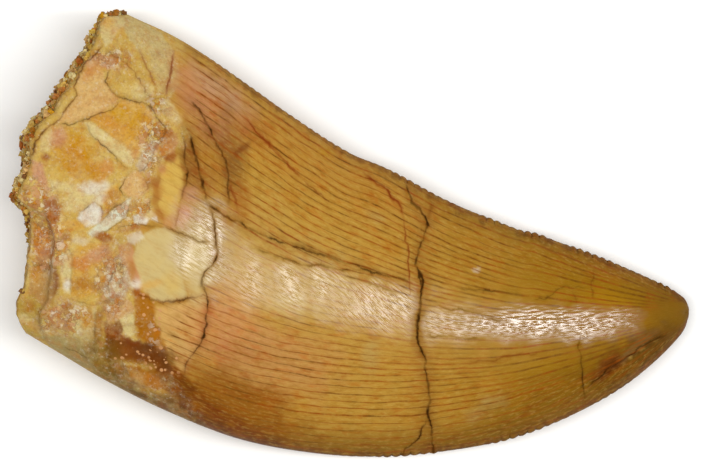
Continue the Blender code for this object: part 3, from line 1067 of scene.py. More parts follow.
# Cracks of the hidden lower side, made up: they carry the through cracks on and add a few of their own.
LOWER_CRACKS: tuple[Crack, ...] = (
    Crack(((214, 238), (262, 250), (318, 262), (371, 268), (418, 279)), 0.10, 0.06, 0.55, 0.15, 0.3),
    Crack(((120, 60), (132, 84), (126, 110), (140, 136), (133, 170), (146, 205), (138, 240), (150, 276),
           (142, 310), (160, 345), (158, 380)), 0.075, 0.09, 0.65, 0.2),
    Crack(((60, 140), (90, 146), (126, 142), (160, 150), (196, 143)), 0.06, 0.07, 0.5),
    Crack(((40, 250), (80, 246), (112, 256), (146, 252)), 0.06, 0.07, 0.55),
    Crack(((520, 290), (552, 300), (590, 304), (630, 310)), 0.07, 0.04, 0.5),
    Crack(((300, 190), (306, 220), (301, 252), (310, 290)), 0.06, 0.05, 0.4, 0.4),
)

# The glossy plate on which no growth lines show.
PLAIN_PLATE = Plate(
    ((130, 239), (150, 228), (165, 226), (184, 238), (204, 244), (212, 256), (204, 272), (204, 292),
     (186, 300), (156, 301), (140, 292), (128, 262)), Tint.PALE_GREEN)

# The plates into which the base has cracked, from its top corner down. A later one lies over an earlier one.
PLATES: tuple[Plate, ...] = (
    Plate(((100, 22), (106, 16), (118, 16), (124, 22), (117, 34), (111, 43), (106, 47), (102, 38), (98, 30)),
          Tint.CREAM),
    Plate(((118, 16), (132, 18), (146, 24), (162, 34), (174, 50), (173, 72), (168, 94), (160, 94), (153, 82),
           (146, 66), (136, 48), (126, 34)), Tint.PALE_GREEN),
    Plate(((107, 47), (122, 30), (138, 52), (150, 74), (155, 93), (146, 88), (136, 73), (124, 60),
           (114, 56)), Tint.TAN),
    Plate(((120, 62), (128, 64), (136, 74), (144, 85), (148, 94), (140, 99), (122, 97), (112, 90), (105, 80),
           (109, 70)), Tint.TAN, 1.0, 0.05),
    Plate(((76, 78), (90, 68), (104, 72), (104, 80), (112, 92), (119, 99), (110, 108), (98, 114), (84, 118),
           (70, 123), (56, 123), (66, 110), (78, 96)), Tint.PEACH, 0.95, 0.02),
    Plate(((84, 62), (100, 53), (113, 58), (120, 63), (108, 69), (96, 66), (88, 70)), Tint.PINK, 0.75),
    Plate(((86, 118), (100, 113), (112, 108), (121, 101), (134, 100), (144, 104), (151, 112), (153, 124),
           (150, 137), (145, 147), (137, 150), (128, 147), (118, 140), (104, 130), (94, 123)),
          Tint.ORANGE, 0.95, 0.05),
    Plate(((84, 122), (92, 123), (104, 131), (118, 141), (132, 150), (138, 153), (134, 165), (128, 166),
           (116, 156), (104, 146), (94, 138), (87, 129)), Tint.CREAM, 0.95, 0.03),
    Plate(((56, 128), (70, 123), (84, 122), (90, 136), (104, 148), (117, 161), (128, 170), (118, 178),
           (104, 182), (96, 188), (82, 184), (66, 180), (52, 178), (48, 164), (38, 152), (40, 138)),
          Tint.TAN),
    Plate(((42, 136), (50, 130), (54, 140), (50, 152), (40, 150)), Tint.CREAM, 0.7),
    Plate(((32, 160), (42, 162), (46, 176), (50, 192), (42, 186), (32, 176)), Tint.PINK, 0.95),
    Plate(((48, 180), (70, 182), (92, 188), (106, 196), (94, 203), (80, 211), (64, 212), (54, 198)),
          Tint.CREAM, 0.8),
    Plate(((40, 186), (50, 194), (58, 207), (60, 220), (52, 228), (46, 220), (44, 204)),
          Tint.RUST, 0.9, -0.05),
    Plate(((130, 174), (137, 170), (148, 184), (149, 190), (141, 198), (128, 196), (121, 188), (124, 180)),
          Tint.PEACH, 1.0, 0.05),
    Plate(((142, 152), (153, 139), (160, 144), (152, 158), (147, 167), (139, 173), (136, 165)),
          Tint.GREY, 0.9),
    Plate(((80, 212), (94, 202), (104, 212), (99, 223), (86, 228), (77, 219)), Tint.CHALK, 1.0, -0.05),
    Plate(((131, 197), (129, 206), (124, 217), (108, 229), (92, 237), (87, 233), (104, 218), (118, 206)),
          Tint.SLIVER, 1.0, -0.02),
    Plate(((105, 188), (118, 184), (123, 194), (116, 204), (108, 211), (101, 201)), Tint.ORANGE, 0.9),
    Plate(((133, 216), (144, 211), (151, 218), (146, 225), (135, 223)), Tint.CHALK, 0.9, -0.04),
    Plate(((148, 206), (156, 214), (158, 222), (150, 220)), Tint.CHALK, 0.8),
    Plate(((140, 198), (152, 203), (158, 216), (150, 220), (138, 214), (128, 216), (130, 204)),
          Tint.TAN, 0.7),
    Plate(((168, 160), (178, 156), (184, 172), (183, 190), (178, 208), (174, 224), (166, 222), (160, 208),
           (158, 188), (162, 172)), Tint.TAN, 0.95, 0.02),
    Plate(((160, 130), (172, 128), (179, 142), (174, 154), (160, 152)), Tint.ROSE, 0.75),
    Plate(((160, 102), (168, 98), (174, 106), (182, 122), (172, 122), (163, 113)), Tint.CREAM, 0.9),
    Plate(((174, 58), (181, 72), (178, 88), (170, 96), (170, 80)), Tint.PALE_GREEN, 0.8),
    Plate(((34, 230), (52, 226), (56, 238), (54, 250), (44, 256), (34, 252)), Tint.ORANGE_BROWN, 0.75),
    Plate(((36, 252), (54, 248), (57, 262), (42, 265), (33, 262)), Tint.PINK, 0.6),
    Plate(((32, 264), (54, 262), (58, 276), (54, 294), (48, 308), (42, 316), (36, 300), (28, 294)),
          Tint.TERRACE, 0.95),
    Plate(((18, 300), (34, 292), (44, 310), (48, 324), (42, 336), (30, 336), (20, 324), (14, 310)),
          Tint.CORNER_OLIVE, 0.95),
    Plate(((61, 254), (69, 250), (72, 262), (71, 280), (71, 294), (64, 293), (60, 274)),
          Tint.CREAM, 1.0, 0.06),
    Plate(((73, 250), (90, 243), (108, 243), (116, 256), (108, 268), (104, 280), (97, 292), (82, 299),
           (72, 296), (73, 272)), Tint.ORANGE, 0.70),
    Plate(((106, 262), (120, 254), (129, 268), (131, 284), (126, 297), (112, 303), (103, 294), (105, 278)),
          Tint.GREY, 0.9),
    Plate(((118, 246), (130, 243), (138, 260), (142, 280), (134, 287), (127, 270), (120, 257)),
          Tint.PINK, 0.7),
    Plate(((138, 239), (150, 230), (165, 227), (184, 240), (186, 254), (180, 268), (184, 284), (186, 298),
           (170, 303), (156, 301), (145, 295), (140, 276), (132, 257)), Tint.PALE_GREEN, 0.95, 0.03),
    Plate(((126, 236), (140, 231), (145, 237), (134, 245), (127, 243)), Tint.CHALK, 0.5),
    Plate(((76, 303), (97, 306), (96, 322), (94, 336), (86, 342), (76, 335), (69, 320)), Tint.CREAM, 0.85),
    Plate(((120, 318), (132, 311), (136, 322), (135, 335), (126, 337), (119, 329)), Tint.CREAM, 1.0, 0.03),
    Plate(((103, 306), (128, 299), (136, 310), (122, 318), (108, 322)), Tint.PINK, 0.6),
    Plate(((152, 308), (180, 303), (206, 301), (207, 320), (200, 342), (187, 370), (178, 373), (168, 356),
           (161, 336), (155, 320)), Tint.PEACH, 0.7, 0.0, 0.25),
    Plate(((136, 291), (146, 292), (153, 304), (153, 318), (161, 332), (166, 350), (150, 346), (140, 337),
           (137, 322), (134, 308)), Tint.OCHRE, 1.0, 0.0, 0.14, ragged=1.8),
    Plate(((106, 321), (118, 320), (122, 334), (138, 340), (152, 345), (166, 350), (172, 364), (184, 377),
           (197, 390), (198, 400), (186, 398), (170, 391), (160, 378), (148, 365), (134, 362), (120, 360),
           (103, 355), (104, 338)), Tint.UMBER, 1.0, -0.02, 0.14, ragged=1.8),
    Plate(((128, 367), (150, 364), (166, 377), (172, 387), (158, 389), (144, 385), (132, 377)),
          Tint.OCHRE, 1.0, 0.0, 0.14, ragged=1.8),
    Plate(((100, 366), (124, 362), (132, 376), (146, 388), (132, 388), (112, 379)), Tint.TAUPE, 0.95),
    Plate(((36, 336), (60, 336), (92, 345), (100, 356), (96, 368), (84, 368), (60, 354)),
          Tint.MOSS_GREY, 0.9),
    Plate(((94, 358), (108, 366), (128, 386), (150, 394), (176, 398), (190, 410), (150, 408), (120, 392),
           (92, 374)), Tint.MOSS, 0.85, 0.0, 0.2),
    Plate(((150, 392), (176, 392), (198, 400), (214, 416), (190, 414), (160, 408)),
          Tint.TAUPE, 0.75, 0.0, 0.2),
)

# The stains, each with its strength, turn and softness. A later one lies over an earlier one.
STAINS: tuple[Stain, ...] = (
    # The crown: rosy beside the base, olive along the edges and at the tip, paler over the crest. The olive on
    # the lower right and along the lower edge is partly painted shade.
    Stain((300, 150), (150, 32), Tint.CARAMEL, 0.5, -27, 0.6),
    Stain((215, 105), (42, 24), Tint.ROSE, 0.75, -38, 0.6),
    Stain((200, 84), (26, 18), Tint.ROSE, 0.6, -38, 0.6),
    Stain((214, 86), (44, 11), Tint.GREY, 0.30, -34, 0.6),
    Stain((268, 206), (20, 22), Tint.STRAW, 0.40, -20, 0.6),
    # Partly painted shade: the lower right of the crown, darker where it turns away from the light.
    Stain((566, 376), (62, 22), Tint.TIP_OLIVE, 0.50, 24, 0.7),
    Stain((232, 156), (13, 44), Tint.SMOKE_BROWN, 0.60, 8, 0.7),
    Stain((189, 158), (9, 36), Tint.SMOKE_BROWN, 0.60, 4, 0.6),
    Stain((206, 178), (10, 18), Tint.SMOKE_BROWN, 0.40, 8, 0.7),
    Stain((204, 170), (20, 34), Tint.RUST, 0.32, 0, 0.7),
    Stain((258, 130), (10, 20), Tint.RUST, 0.45, 30, 0.7),
    Stain((240, 204), (12, 24), Tint.RUST, 0.38, 0, 0.7),
    Stain((290, 268), (84, 30), Tint.STRAW, 0.80, -14, 0.6),
    Stain((400, 308), (76, 26), Tint.STRAW, 0.55, -10, 0.6),
    Stain((540, 325), (84, 16), Tint.AMBER, 0.70, -2, 0.6),
    Stain((225, 322), (36, 34), Tint.ROSE_HONEY, 0.85, 0, 0.6),
    Stain((262, 360), (70, 34), Tint.ROSE, 0.50, -8, 0.6),
    Stain((268, 395), (20, 9), Tint.RUST, 0.50, -10, 0.6),
    Stain((236, 352), (26, 8), Tint.RED_BROWN, 0.22, -10, 0.7),
    Stain((324, 153), (9, 5), Tint.GOLD, 0.55, -20, 0.7),
    Stain((291, 197), (9, 6), Tint.OCHRE, 0.45, -20, 0.7),
    Stain((392, 247), (12, 7), Tint.OCHRE, 0.45, -20, 0.7),
    Stain((371, 196), (14, 8), Tint.OCHRE, 0.30, -20, 0.7),
    Stain((377, 217), (8, 5), Tint.MOSS_GREY, 0.45, -20, 0.8),
    Stain((371, 352), (8, 16), Tint.MOSS_GREY, 0.35, 0, 0.8),
    Stain((494, 401), (12, 6), Tint.MOSS_GREY, 0.45, 10, 0.8),
    Stain((476, 415), (10, 6), Tint.MOSS_GREY, 0.45, 10, 0.8),
    Stain((422, 300), (12, 130), Tint.SMOKE_BROWN, 0.16, 0, 0.8),
    Stain((609, 300), (22, 9), Tint.GOLD, 0.30, -12, 0.7),
    Stain((602, 268), (24, 9), Tint.RUST, 0.18, -28, 0.7),
    Stain((672, 306), (20, 16), Tint.TIP_OLIVE, 0.50, 0, 0.7),
    Stain((549, 364), (22, 9), Tint.GOLD, 0.15, 8, 0.7),
    Stain((632, 362), (56, 20), Tint.DEEP_TIP, 0.80, 32, 0.5),
    Stain((612, 367), (17, 8), Tint.DARK_UMBER, 0.85, 28, 0.5),
    Stain((477, 272), (3, 2.4), Tint.CHALK, 0.6, 0, 0.4),
    Stain((500, 432), (60, 10), Tint.OLIVE_AND_EDGE_SHADE, 0.35, 14, 0.7),
    # The darker lower side of the crown, toward the bulging edge: partly its own brown and olive, partly
    # painted shade where it turns away from the light.
    Stain((236, 408), (66, 30), Tint.LOWER_SIDE_BROWN_AND_SHADE, 0.85, -26, 0.5),
    Stain((222, 424), (52, 13), Tint.UMBER, 0.70, -26, 0.5),
    Stain((560, 396), (80, 20), Tint.OLIVE_AND_EDGE_SHADE, 0.45, 22, 0.6),
    # Painted highlight tone: the ground under the highlight by the base is greyed so that the highlight reads
    # grey-white.
    Stain((203, 240), (28, 44), Tint.HIGHLIGHT_GROUND_GREY, 0.75, 0, 0.4),
    # Marks on the plates of the chipped base, from its top corner down.
    Stain((107, 22), (6, 6), Tint.ORANGE, 0.7, 0, 0.6),
    Stain((115, 30), (6, 4), Tint.ORANGE_BROWN, 0.50, 20, 0.6),
    Stain((150, 70), (4, 26), Tint.TAN, 0.75, 20, 0.6),
    Stain((182, 66), (8, 20), Tint.ORANGE_BROWN, 0.35, 40, 0.7),
    Stain((94, 68), (13, 5), Tint.ORANGE_BROWN, 0.75, 15, 0.5),
    Stain((88, 78), (6, 4), Tint.ORANGE_BROWN, 0.45, 30, 0.6),
    Stain((143, 90), (9, 8), Tint.CREAM, 0.70, 0, 0.5),
    Stain((119, 116), (12, 8), Tint.MUSTARD, 0.90, 20, 0.5),
    Stain((139, 122), (9, 13), Tint.MUSTARD, 0.70, 0, 0.6),
    Stain((112, 123), (12, 5), Tint.ORANGE_BROWN, 0.45, -25, 0.7),
    Stain((136, 152), (5, 4), Tint.ORANGE_BROWN, 0.8, 0, 0.6),
    Stain((127, 158), (7, 5), Tint.CREAM, 0.55, -40, 0.6),
    Stain((72, 150), (16, 20), Tint.MUSTARD, 1.0, 20, 0.4),
    Stain((76, 160), (9, 17), Tint.DEEP_MUSTARD, 1.0, 10, 0.5),
    Stain((94, 168), (12, 9), Tint.DEEP_MUSTARD, 0.90, -20, 0.4),
    Stain((58, 136), (9, 10), Tint.PINK, 0.85, 20, 0.5),
    Stain((46, 157), (4, 3), Tint.RED_BROWN, 0.75, 0, 0.6),
    Stain((107, 168), (7, 6), Tint.ORANGE_BROWN, 0.75, 0, 0.5),
    Stain((98, 181), (9, 3), Tint.ORANGE_BROWN, 0.60, 40, 0.6),
    Stain((58, 198), (9, 8), Tint.TAN, 0.80, 10, 0.5),
    Stain((92, 188), (14, 6), Tint.CHALK, 0.75, 10, 0.5),
    Stain((100, 198), (6, 8), Tint.CHALK, 0.55, -40, 0.5),
    Stain((54, 213), (6, 9), Tint.RED_BROWN, 0.70, -10, 0.6),
    Stain((50, 206), (4, 9), Tint.RUST, 0.80, -30, 0.5),
    Stain((114, 194), (6, 5), Tint.OCHRE, 0.70, 20, 0.6),
    Stain((150, 165), (7, 13), Tint.ROSE, 0.35, -40, 0.6),
    Stain((170, 136), (5, 6), Tint.RUST, 0.75, 0, 0.5),
    Stain((168, 157), (9, 4), Tint.RED_BROWN, 0.70, 0, 0.5),
    Stain((162, 168), (5, 6), Tint.ROSE, 0.70, 0, 0.5),
    Stain((153, 181), (8, 5), Tint.RED_BROWN, 0.50, 0, 0.6),
    Stain((157, 194), (5, 9), Tint.RUST, 0.55, 0, 0.6),
    Stain((160, 213), (7, 8), Tint.RUST, 0.55, -30, 0.6),
    Stain((172, 222), (9, 8), Tint.ROSE, 0.60, 0, 0.6),
    Stain((184, 214), (7, 11), Tint.ROSE, 0.70, 0, 0.6),
    Stain((190, 194), (9, 9), Tint.ROSE, 0.65, 0, 0.6),
    Stain((128, 229), (12, 3), Tint.RUST, 0.80, 10, 0.5),
    Stain((103, 237), (10, 4), Tint.RUST, 0.90, -15, 0.5),
    Stain((70, 226), (18, 5), Tint.ORANGE, 0.75, 5, 0.5),
    Stain((66, 236), (5, 3), Tint.RUST, 0.65, 5, 0.5),
    Stain((62, 246), (6, 5), Tint.ORANGE_BROWN, 0.80, 0, 0.5),
    Stain((80, 241), (8, 4), Tint.CHALK, 0.45, 0, 0.6),
    Stain((45, 234), (8, 6), Tint.ORANGE_BROWN, 0.9, 0, 0.5),
    Stain((48, 248), (8, 6), Tint.ROSE, 0.75, 0, 0.6),
    Stain((96, 254), (13, 7), Tint.PINK, 0.85, 20, 0.5),
    Stain((78, 264), (9, 7), Tint.ORANGE_BROWN, 0.90, 0, 0.5),
    Stain((84, 284), (13, 8), Tint.OCHRE, 0.70, 15, 0.5),
    Stain((98, 276), (8, 8), Tint.TAN, 0.60, 15, 0.6),
    Stain((67, 286), (4, 6), Tint.CHALK, 0.85, 0, 0.5),
    Stain((118, 266), (3, 9), Tint.CORNER_OLIVE, 0.6, 10, 0.5),
    Stain((136, 284), (6, 5), Tint.CHALK, 0.75, 0, 0.5),
    Stain((137, 293), (5, 5), Tint.RUST, 0.85, 0, 0.5),
    Stain((132, 268), (5, 10), Tint.OCHRE, 0.55, 10, 0.6),
    Stain((151, 285), (9, 4), Tint.ORANGE, 0.55, 10, 0.6),
    Stain((172, 284), (8, 12), Tint.TAN, 0.45, 0, 0.7),
    Stain((110, 302), (10, 5), Tint.SMOKE_BROWN, 0.55, 0, 0.6),
    Stain((54, 312), (7, 5), Tint.PINK, 0.85, 20, 0.5),
    Stain((67, 307), (6, 7), Tint.RED_BROWN, 0.65, 0, 0.6),
    Stain((60, 324), (9, 6), Tint.ROSE, 0.80, -10, 0.5),
    Stain((88, 318), (6, 13), Tint.MUSTARD, 0.90, -8, 0.5),
    Stain((100, 322), (4, 14), Tint.TAUPE, 0.70, -4, 0.6),
    # The terrace, the lobe at the mesial corner and the grey-green border.
    Stain((54, 278), (5, 16), Tint.SMOKE_BROWN, 0.60, 0, 0.6),
    Stain((44, 268), (11, 4), Tint.SMOKE_BROWN, 0.45, 0, 0.6),
    Stain((36, 276), (5, 8), Tint.ORANGE, 0.45, 0, 0.6),
    Stain((30, 306), (7, 6), Tint.OCHRE, 0.7, 0, 0.5),
    Stain((24, 318), (6, 5), Tint.CREAM, 0.7, 0, 0.5),
    Stain((34, 326), (4, 6), Tint.OCHRE, 0.6, 0, 0.6),
    Stain((44, 330), (8, 5), Tint.CREAM, 0.6, -20, 0.6),
    Stain((70, 340), (12, 5), Tint.PALE_GREEN, 0.6, -28, 0.6),
    Stain((84, 336), (5, 8), Tint.CREAM, 0.7, 0, 0.6),
    Stain((92, 348), (6, 8), Tint.TAUPE, 0.7, -28, 0.5),
    Stain((112, 358), (8, 6), Tint.SMOKE_BROWN, 0.80, -20, 0.5),
    Stain((98, 362), (7, 6), Tint.GOLD, 0.45, -20, 0.6),
    Stain((138, 362), (20, 3), Tint.OCHRE, 0.70, -8, 0.6),
    # The bare brown patch.
    Stain((126, 352), (14, 6), Tint.RUST, 0.50, -10, 0.6),
    Stain((150, 352), (12, 7), Tint.DARK_UMBER, 0.80, -20, 0.5),
    Stain((112, 330), (7, 8), Tint.RUST, 0.60, -10, 0.5),
    Stain((146, 366), (8, 3), Tint.TAN, 0.65, -10, 0.6),
    Stain((152, 380), (12, 6), Tint.ORANGE_BROWN, 0.70, -20, 0.5),
    Stain((168, 362), (7, 10), Tint.DARK_UMBER, 0.70, -20, 0.6),
    Stain((182, 388), (16, 9), Tint.DARK_UMBER, 0.85, -28, 0.4),
    Stain((206, 418), (7, 4), Tint.RED_BROWN, 0.85, -10, 0.5),
    Stain((240, 434), (8, 4), Tint.RED_BROWN, 0.60, -20, 0.5),
    Stain((262, 444), (12, 4), Tint.DARK_UMBER, 0.70, -20, 0.5),
    # Crumbs left along the step of the lost flake.
    Stain((606, 373), (2.4, 1.6), Tint.CREAM, 0.7, 30, 0.4),
    Stain((614, 368), (2.0, 1.4), Tint.CREAM, 0.7, 30, 0.4),
    Stain((621, 363), (2.4, 1.4), Tint.TAN, 0.7, 30, 0.4),
    Stain((630, 357), (2.8, 1.3), Tint.TAN, 0.6, 30, 0.4),
    Stain((641, 349), (3.2, 1.3), Tint.TAN, 0.6, 30, 0.4),
    Stain((655, 340), (3.6, 1.2), Tint.TAN, 0.5, 30, 0.4),
    # The brown blotch and the grey speckled line on the flake near the tip.
    Stain((607, 367), (19, 7), Tint.UMBER, 0.80, 42, 0.5),
    Stain((632, 351), (32, 3), Tint.TAUPE, 0.60, 40, 0.6),
    # The rosy enamel beside the brown patch, and the pale glossy plate.
    Stain((208, 308), (7, 16), Tint.RED_BROWN, 0.30, 0, 0.8),
    Stain((222, 320), (36, 12), Tint.ROSE, 0.35, -8, 0.8),
    Stain((197, 268), (13, 36), Tint.PALE_GREEN, 0.75, 0, 0.5),
    # The core of the flake's blotch, and the dark tip.
    Stain((609, 368), (17, 6), Tint.DARK_UMBER, 0.90, 40, 0.5),
    Stain((650, 344), (24, 9), Tint.DEEP_TIP, 0.45, 35, 0.8),
    # Rosy and brown parts of the crown by the base, a pale part of its crest and a dark part of its edge.
    Stain((204, 122), (14, 30), Tint.ROSE, 0.45, 40, 0.8),
    Stain((214, 142), (12, 26), Tint.SMOKE_BROWN, 0.30, 45, 0.8),
    Stain((254, 138), (14, 8), Tint.RUST, 0.35, -35, 0.7),
    Stain((235, 166), (10, 18), Tint.SMOKE_BROWN, 0.22, 0, 0.8),
    Stain((286, 306), (36, 12), Tint.PALE_GREEN, 0.45, -6, 0.8),
    Stain((452, 214), (30, 9), Tint.AMBER, 0.40, -28, 0.8),
    # The dark mesial edge by the base.
    Stain((205, 404), (28, 9), Tint.UMBER, 0.60, -28, 0.8),
    Stain((212, 418), (24, 4), Tint.RED_BROWN, 0.75, -27, 1.0),
    Stain((256, 438), (16, 5), Tint.RED_BROWN, 0.55, -22, 1.0),
    Stain((196, 404), (6, 3), Tint.OCHRE, 0.75, -20, 0.9),
    Stain((228, 424), (7, 3), Tint.OCHRE, 0.65, -20, 0.9),
    # The brown patch and the plates round it.
    Stain((102, 351), (14, 11), Tint.OLIVE_AND_EDGE_SHADE, 0.60, -25, 0.8),
    Stain((146, 356), (13, 8), Tint.UMBER, 0.75, -25, 0.7),
    Stain((144, 380), (15, 7), Tint.OCHRE, 0.65, -30, 0.7),
    Stain((168, 378), (13, 8), Tint.UMBER, 0.70, -35, 0.7),
    Stain((120, 376), (14, 6), Tint.OLIVE_AND_EDGE_SHADE, 0.45, -30, 0.8),
    Stain((120, 245), (14, 9), Tint.SMOKE_BROWN, 0.28, 0, 0.8),
    Stain((98, 326), (9, 14), Tint.OCHRE, 0.45, 0, 0.7),
    Stain((80, 158), (17, 13), Tint.DEEP_MUSTARD, 0.50, 0, 0.9),
    Stain((100, 354), (28, 13), Tint.OLIVE_AND_EDGE_SHADE, 0.50, -28, 0.9),
    Stain((72, 342), (18, 8), Tint.MOSS_GREY, 0.45, -28, 0.9),
    Stain((182, 392), (24, 8), Tint.UMBER, 0.60, -38, 1.0),
    Stain((224, 424), (34, 6), Tint.UMBER, 0.60, -24, 1.0),
)

# The edge of the enamel on the base, from the distal edge down to the mesial one; enamel is on its left.
ENAMEL_EDGE: Points = (
    (184, 20), (180, 44), (180, 60), (176, 84), (172, 100), (182, 122), (187, 138), (184, 150), (166, 153),
    (156, 168), (152, 190), (156, 210), (142, 222), (129, 238), (128, 262), (134, 284), (146, 297),
    (147, 305), (152, 318), (160, 335), (166, 352), (174, 374), (182, 390), (190, 402), (198, 414),
    (208, 426), (216, 440), (220, 470),
)

# The places where the chipped base is crushed into small fragments.
CRUSHED: tuple[Oval, ...] = (
    ((154, 145), (14, 34)), ((112, 282), (14, 32)), ((48, 240), (20, 34)), ((140, 212), (30, 14)),
    ((36, 204), (16, 26)), ((112, 58), (22, 9)), ((162, 104), (14, 10)), ((64, 318), (26, 16)),
    ((158, 322), (10, 22)), ((146, 222), (26, 8)),
)

# The places where the enamel is worn smoothest and shines most, with how much.
POLISHED: tuple[tuple[tuple[float, float], tuple[float, float], float], ...] = (
    ((203, 240), (26, 40), 0.62), ((243, 278), (28, 28), 0.42), ((300, 284), (52, 24), 0.46),
    ((376, 306), (50, 24), 0.60), ((452, 323), (50, 17), 0.55), ((550, 323), (92, 15), 0.88),
    ((626, 315), (34, 7), 0.72),
)

# The places by the base where the growth lines hardly show.
CALM: tuple[Oval, ...] = (
    ((170, 172), (19, 46)), ((184, 84), (15, 46)), ((164, 318), (14, 26)),
)

# The places on the brown patch where pale specks show.
SPECKS: tuple[Oval, ...] = (
    ((147, 308), (9, 16)), ((153, 332), (10, 22)), ((162, 362), (16, 14)), ((132, 350), (26, 10)),
)


@dataclass(frozen=True)
class FossilTooth:
    """The whole tooth as one closed mesh, in millimetres until it is written."""

    form: ToothForm
    viewpoint: Viewpoint
    finish: FossilEnamel
    first_rows: int = 56
    first_columns: int = 22
    break_rows: int = 6
    crack_mesh: float = 0.15
    edge_mesh: float = 0.15
    base_mesh: float = 0.20
    crown_mesh: float = 0.38
    lower_mesh: float = 0.62
    ridge_height: float = 0.20
    ridge_width: float = 0.15
    ripple_length: float = 2.3
    ripple_height: float = 0.006
    bar_length: float = 2.7
    bar_contrast: float = 0.30
    braid_centre: tuple[float, float] = (6.0, -5.6)
    braid_lean: float = -0.60
    line_count: float = 42.0
    line_gap: tuple[float, float] = (0.47, 0.60)
    line_turn: tuple[float, float] = (0.47, 0.38)
    sparse_gap: tuple[float, float] = (0.06, 0.12)
    crowded_gap: tuple[float, float] = (0.28, 0.42)
    dull_tip: tuple[float, float] = (0.885, 0.925)
    crack_cut: float = 0.42
    lower_line: float = 200.0
    slit_cut: float = 0.05
    slit_shade: float = 0.42
    broad_swell: float = 0.03
    fine_swell: float = 0.010
    chip_relief: tuple[float, float] = (0.09, 0.03)
    break_relief: tuple[float, float] = (0.16, 0.10)
    pit_depth: float = 0.03

    def build(self) -> bpy.types.Object:
        """Build the mesh, write its fields and dress it.

        Returns:
            The finished object.
        """
        spots, triangles = self.first_mesh()
        spots, triangles = self.refined(spots, triangles)
        spots, triangles = self.scored(spots, triangles)
        smooth = self.form.place(spots)
        spots, smooth, triangles = self.welded(spots, smooth, triangles)
        fields = self.fields(spots, smooth)
        place = self.serrated(spots, smooth, fields)
        place = place + self.normals(place, triangles) * self.relief(spots, smooth, fields)[:, None]
        place[:, 2] = np.maximum(place[:, 2], 0.0)
        data = bpy.data.meshes.new("fossil_tooth")
        data.from_pydata((place * MM).tolist(), [], triangles.tolist())
        data.shade_smooth()
        for name in FIELDS:
            layer = data.attributes.new(name, "FLOAT", "POINT")
            layer.data.foreach_set("value", fields[name].astype(np.float32))
        tint_points(data, fields["tint"])
        data.materials.append(self.finish.build())
        return placed("fossil_tooth", data)

    def first_mesh(self) -> tuple[np.ndarray, np.ndarray]:
        """Lay a coarse closed net over the tooth.

        Returns:
            The spots, as ToothForm.place takes them, and the triangles.
        """
        runs = np.concatenate([-1.0 + np.arange(self.break_rows) / self.break_rows,
                               np.linspace(0.0, 1.0, self.first_rows)])
        even = np.arange(self.first_columns + 1) / self.first_columns
        across = mix(even, 0.5 - 0.5 * np.cos(math.pi * even), 0.6)
        around = np.concatenate([across, across[-2:0:-1]])
        side = np.concatenate([np.ones(len(across)), -np.ones(len(across) - 2)])
        side[[0, len(across) - 1]] = 0.0
        count = len(around)
        spots = np.stack([np.repeat(runs, count), np.tile(around, len(runs)), np.tile(side, len(runs))], 1)
        first = np.arange(count)
        mirrored = np.where(first < len(across), first, (count - first) % count)
        renumber = np.arange(len(spots))
        renumber[:count] = mirrored
        spots[:count, 2] = 0.0
        near = np.arange(len(runs) - 1)[:, None] * count + first[None, :]
        next_one = np.arange(len(runs) - 1)[:, None] * count + (first[None, :] + 1) % count
        quads = np.stack([near, next_one, next_one + count, near + count], axis=-1).reshape(-1, 4)
        triangles = renumber[np.vstack([quads[:, [0, 2, 1]], quads[:, [0, 3, 2]]])]
        used, index = np.unique(triangles, return_inverse=True)
        return spots[used], index.reshape(-1, 3)

    def wanted(self, spots: np.ndarray, place: np.ndarray) -> np.ndarray:
        """Give how long a triangle's side may be.

        Args:
            spots: rows of run, across and side.
            place: rows of x, y and z.

        Returns:
            A length for each row.
        """
        run, across, side = spots.T
        u = np.clip(run, 0.0, 1.0)
        upper = side >= 0.0
        seen = self.viewpoint.seen(place)
        size = np.where(upper, self.crown_mesh, self.lower_mesh)
        enamel = Path(in_mm(ENAMEL_EDGE)).nearest(seen)[0]
        size = np.where(upper & (enamel > -1.0), self.base_mesh, size)
        size = np.where(run < 0.0, self.base_mesh * 1.4, size)
        margin = np.minimum(across, 1.0 - across) * self.form.width(u)
        edge = np.where(upper, self.edge_mesh, 1.3 * self.edge_mesh)
        size = np.minimum(size, edge + 0.45 * np.maximum(0.0, margin - 0.25))
        nearest = np.full(len(spots), FAR_AWAY)
        warped = self.warped(seen)
        for crack, shown in self.cracks(upper):
            away = np.abs(crack.path.nearest(warped, margin=1.0)[0]) - crack.width
            nearest = np.where(shown, np.minimum(nearest, away), nearest)
        fine = np.where(upper, self.crack_mesh, 2.2 * self.crack_mesh)
        return np.minimum(size, fine + 0.8 * np.maximum(0.0, nearest - 0.02))

    @staticmethod
    def cracks(upper: np.ndarray) -> list[tuple[Crack, np.ndarray]]:
        """Pair each crack with the points that it can reach.

        Args:
            upper: whether each point is on the upper side.

        Returns:
            Each crack and whether it shows at each point.
        """
        pairs = [(crack, np.ones(len(upper), bool) if crack.through else upper) for crack in CRACKS]
        return pairs + [(crack, ~upper) for crack in LOWER_CRACKS]

    @staticmethod
    def warped(seen: np.ndarray) -> np.ndarray:
        """Shift places a little by noise, so that cracks and stains are as ragged as real ones."""
        coarse = np.stack([layered_noise(seen * 0.9, seed) for seed in (11, 12)], axis=1)
        fine = np.stack([layered_noise(seen * 3.0, seed, 2) for seed in (13, 14)], axis=1)
        return seen + WARP_COARSE * coarse + WARP_FINE * fine

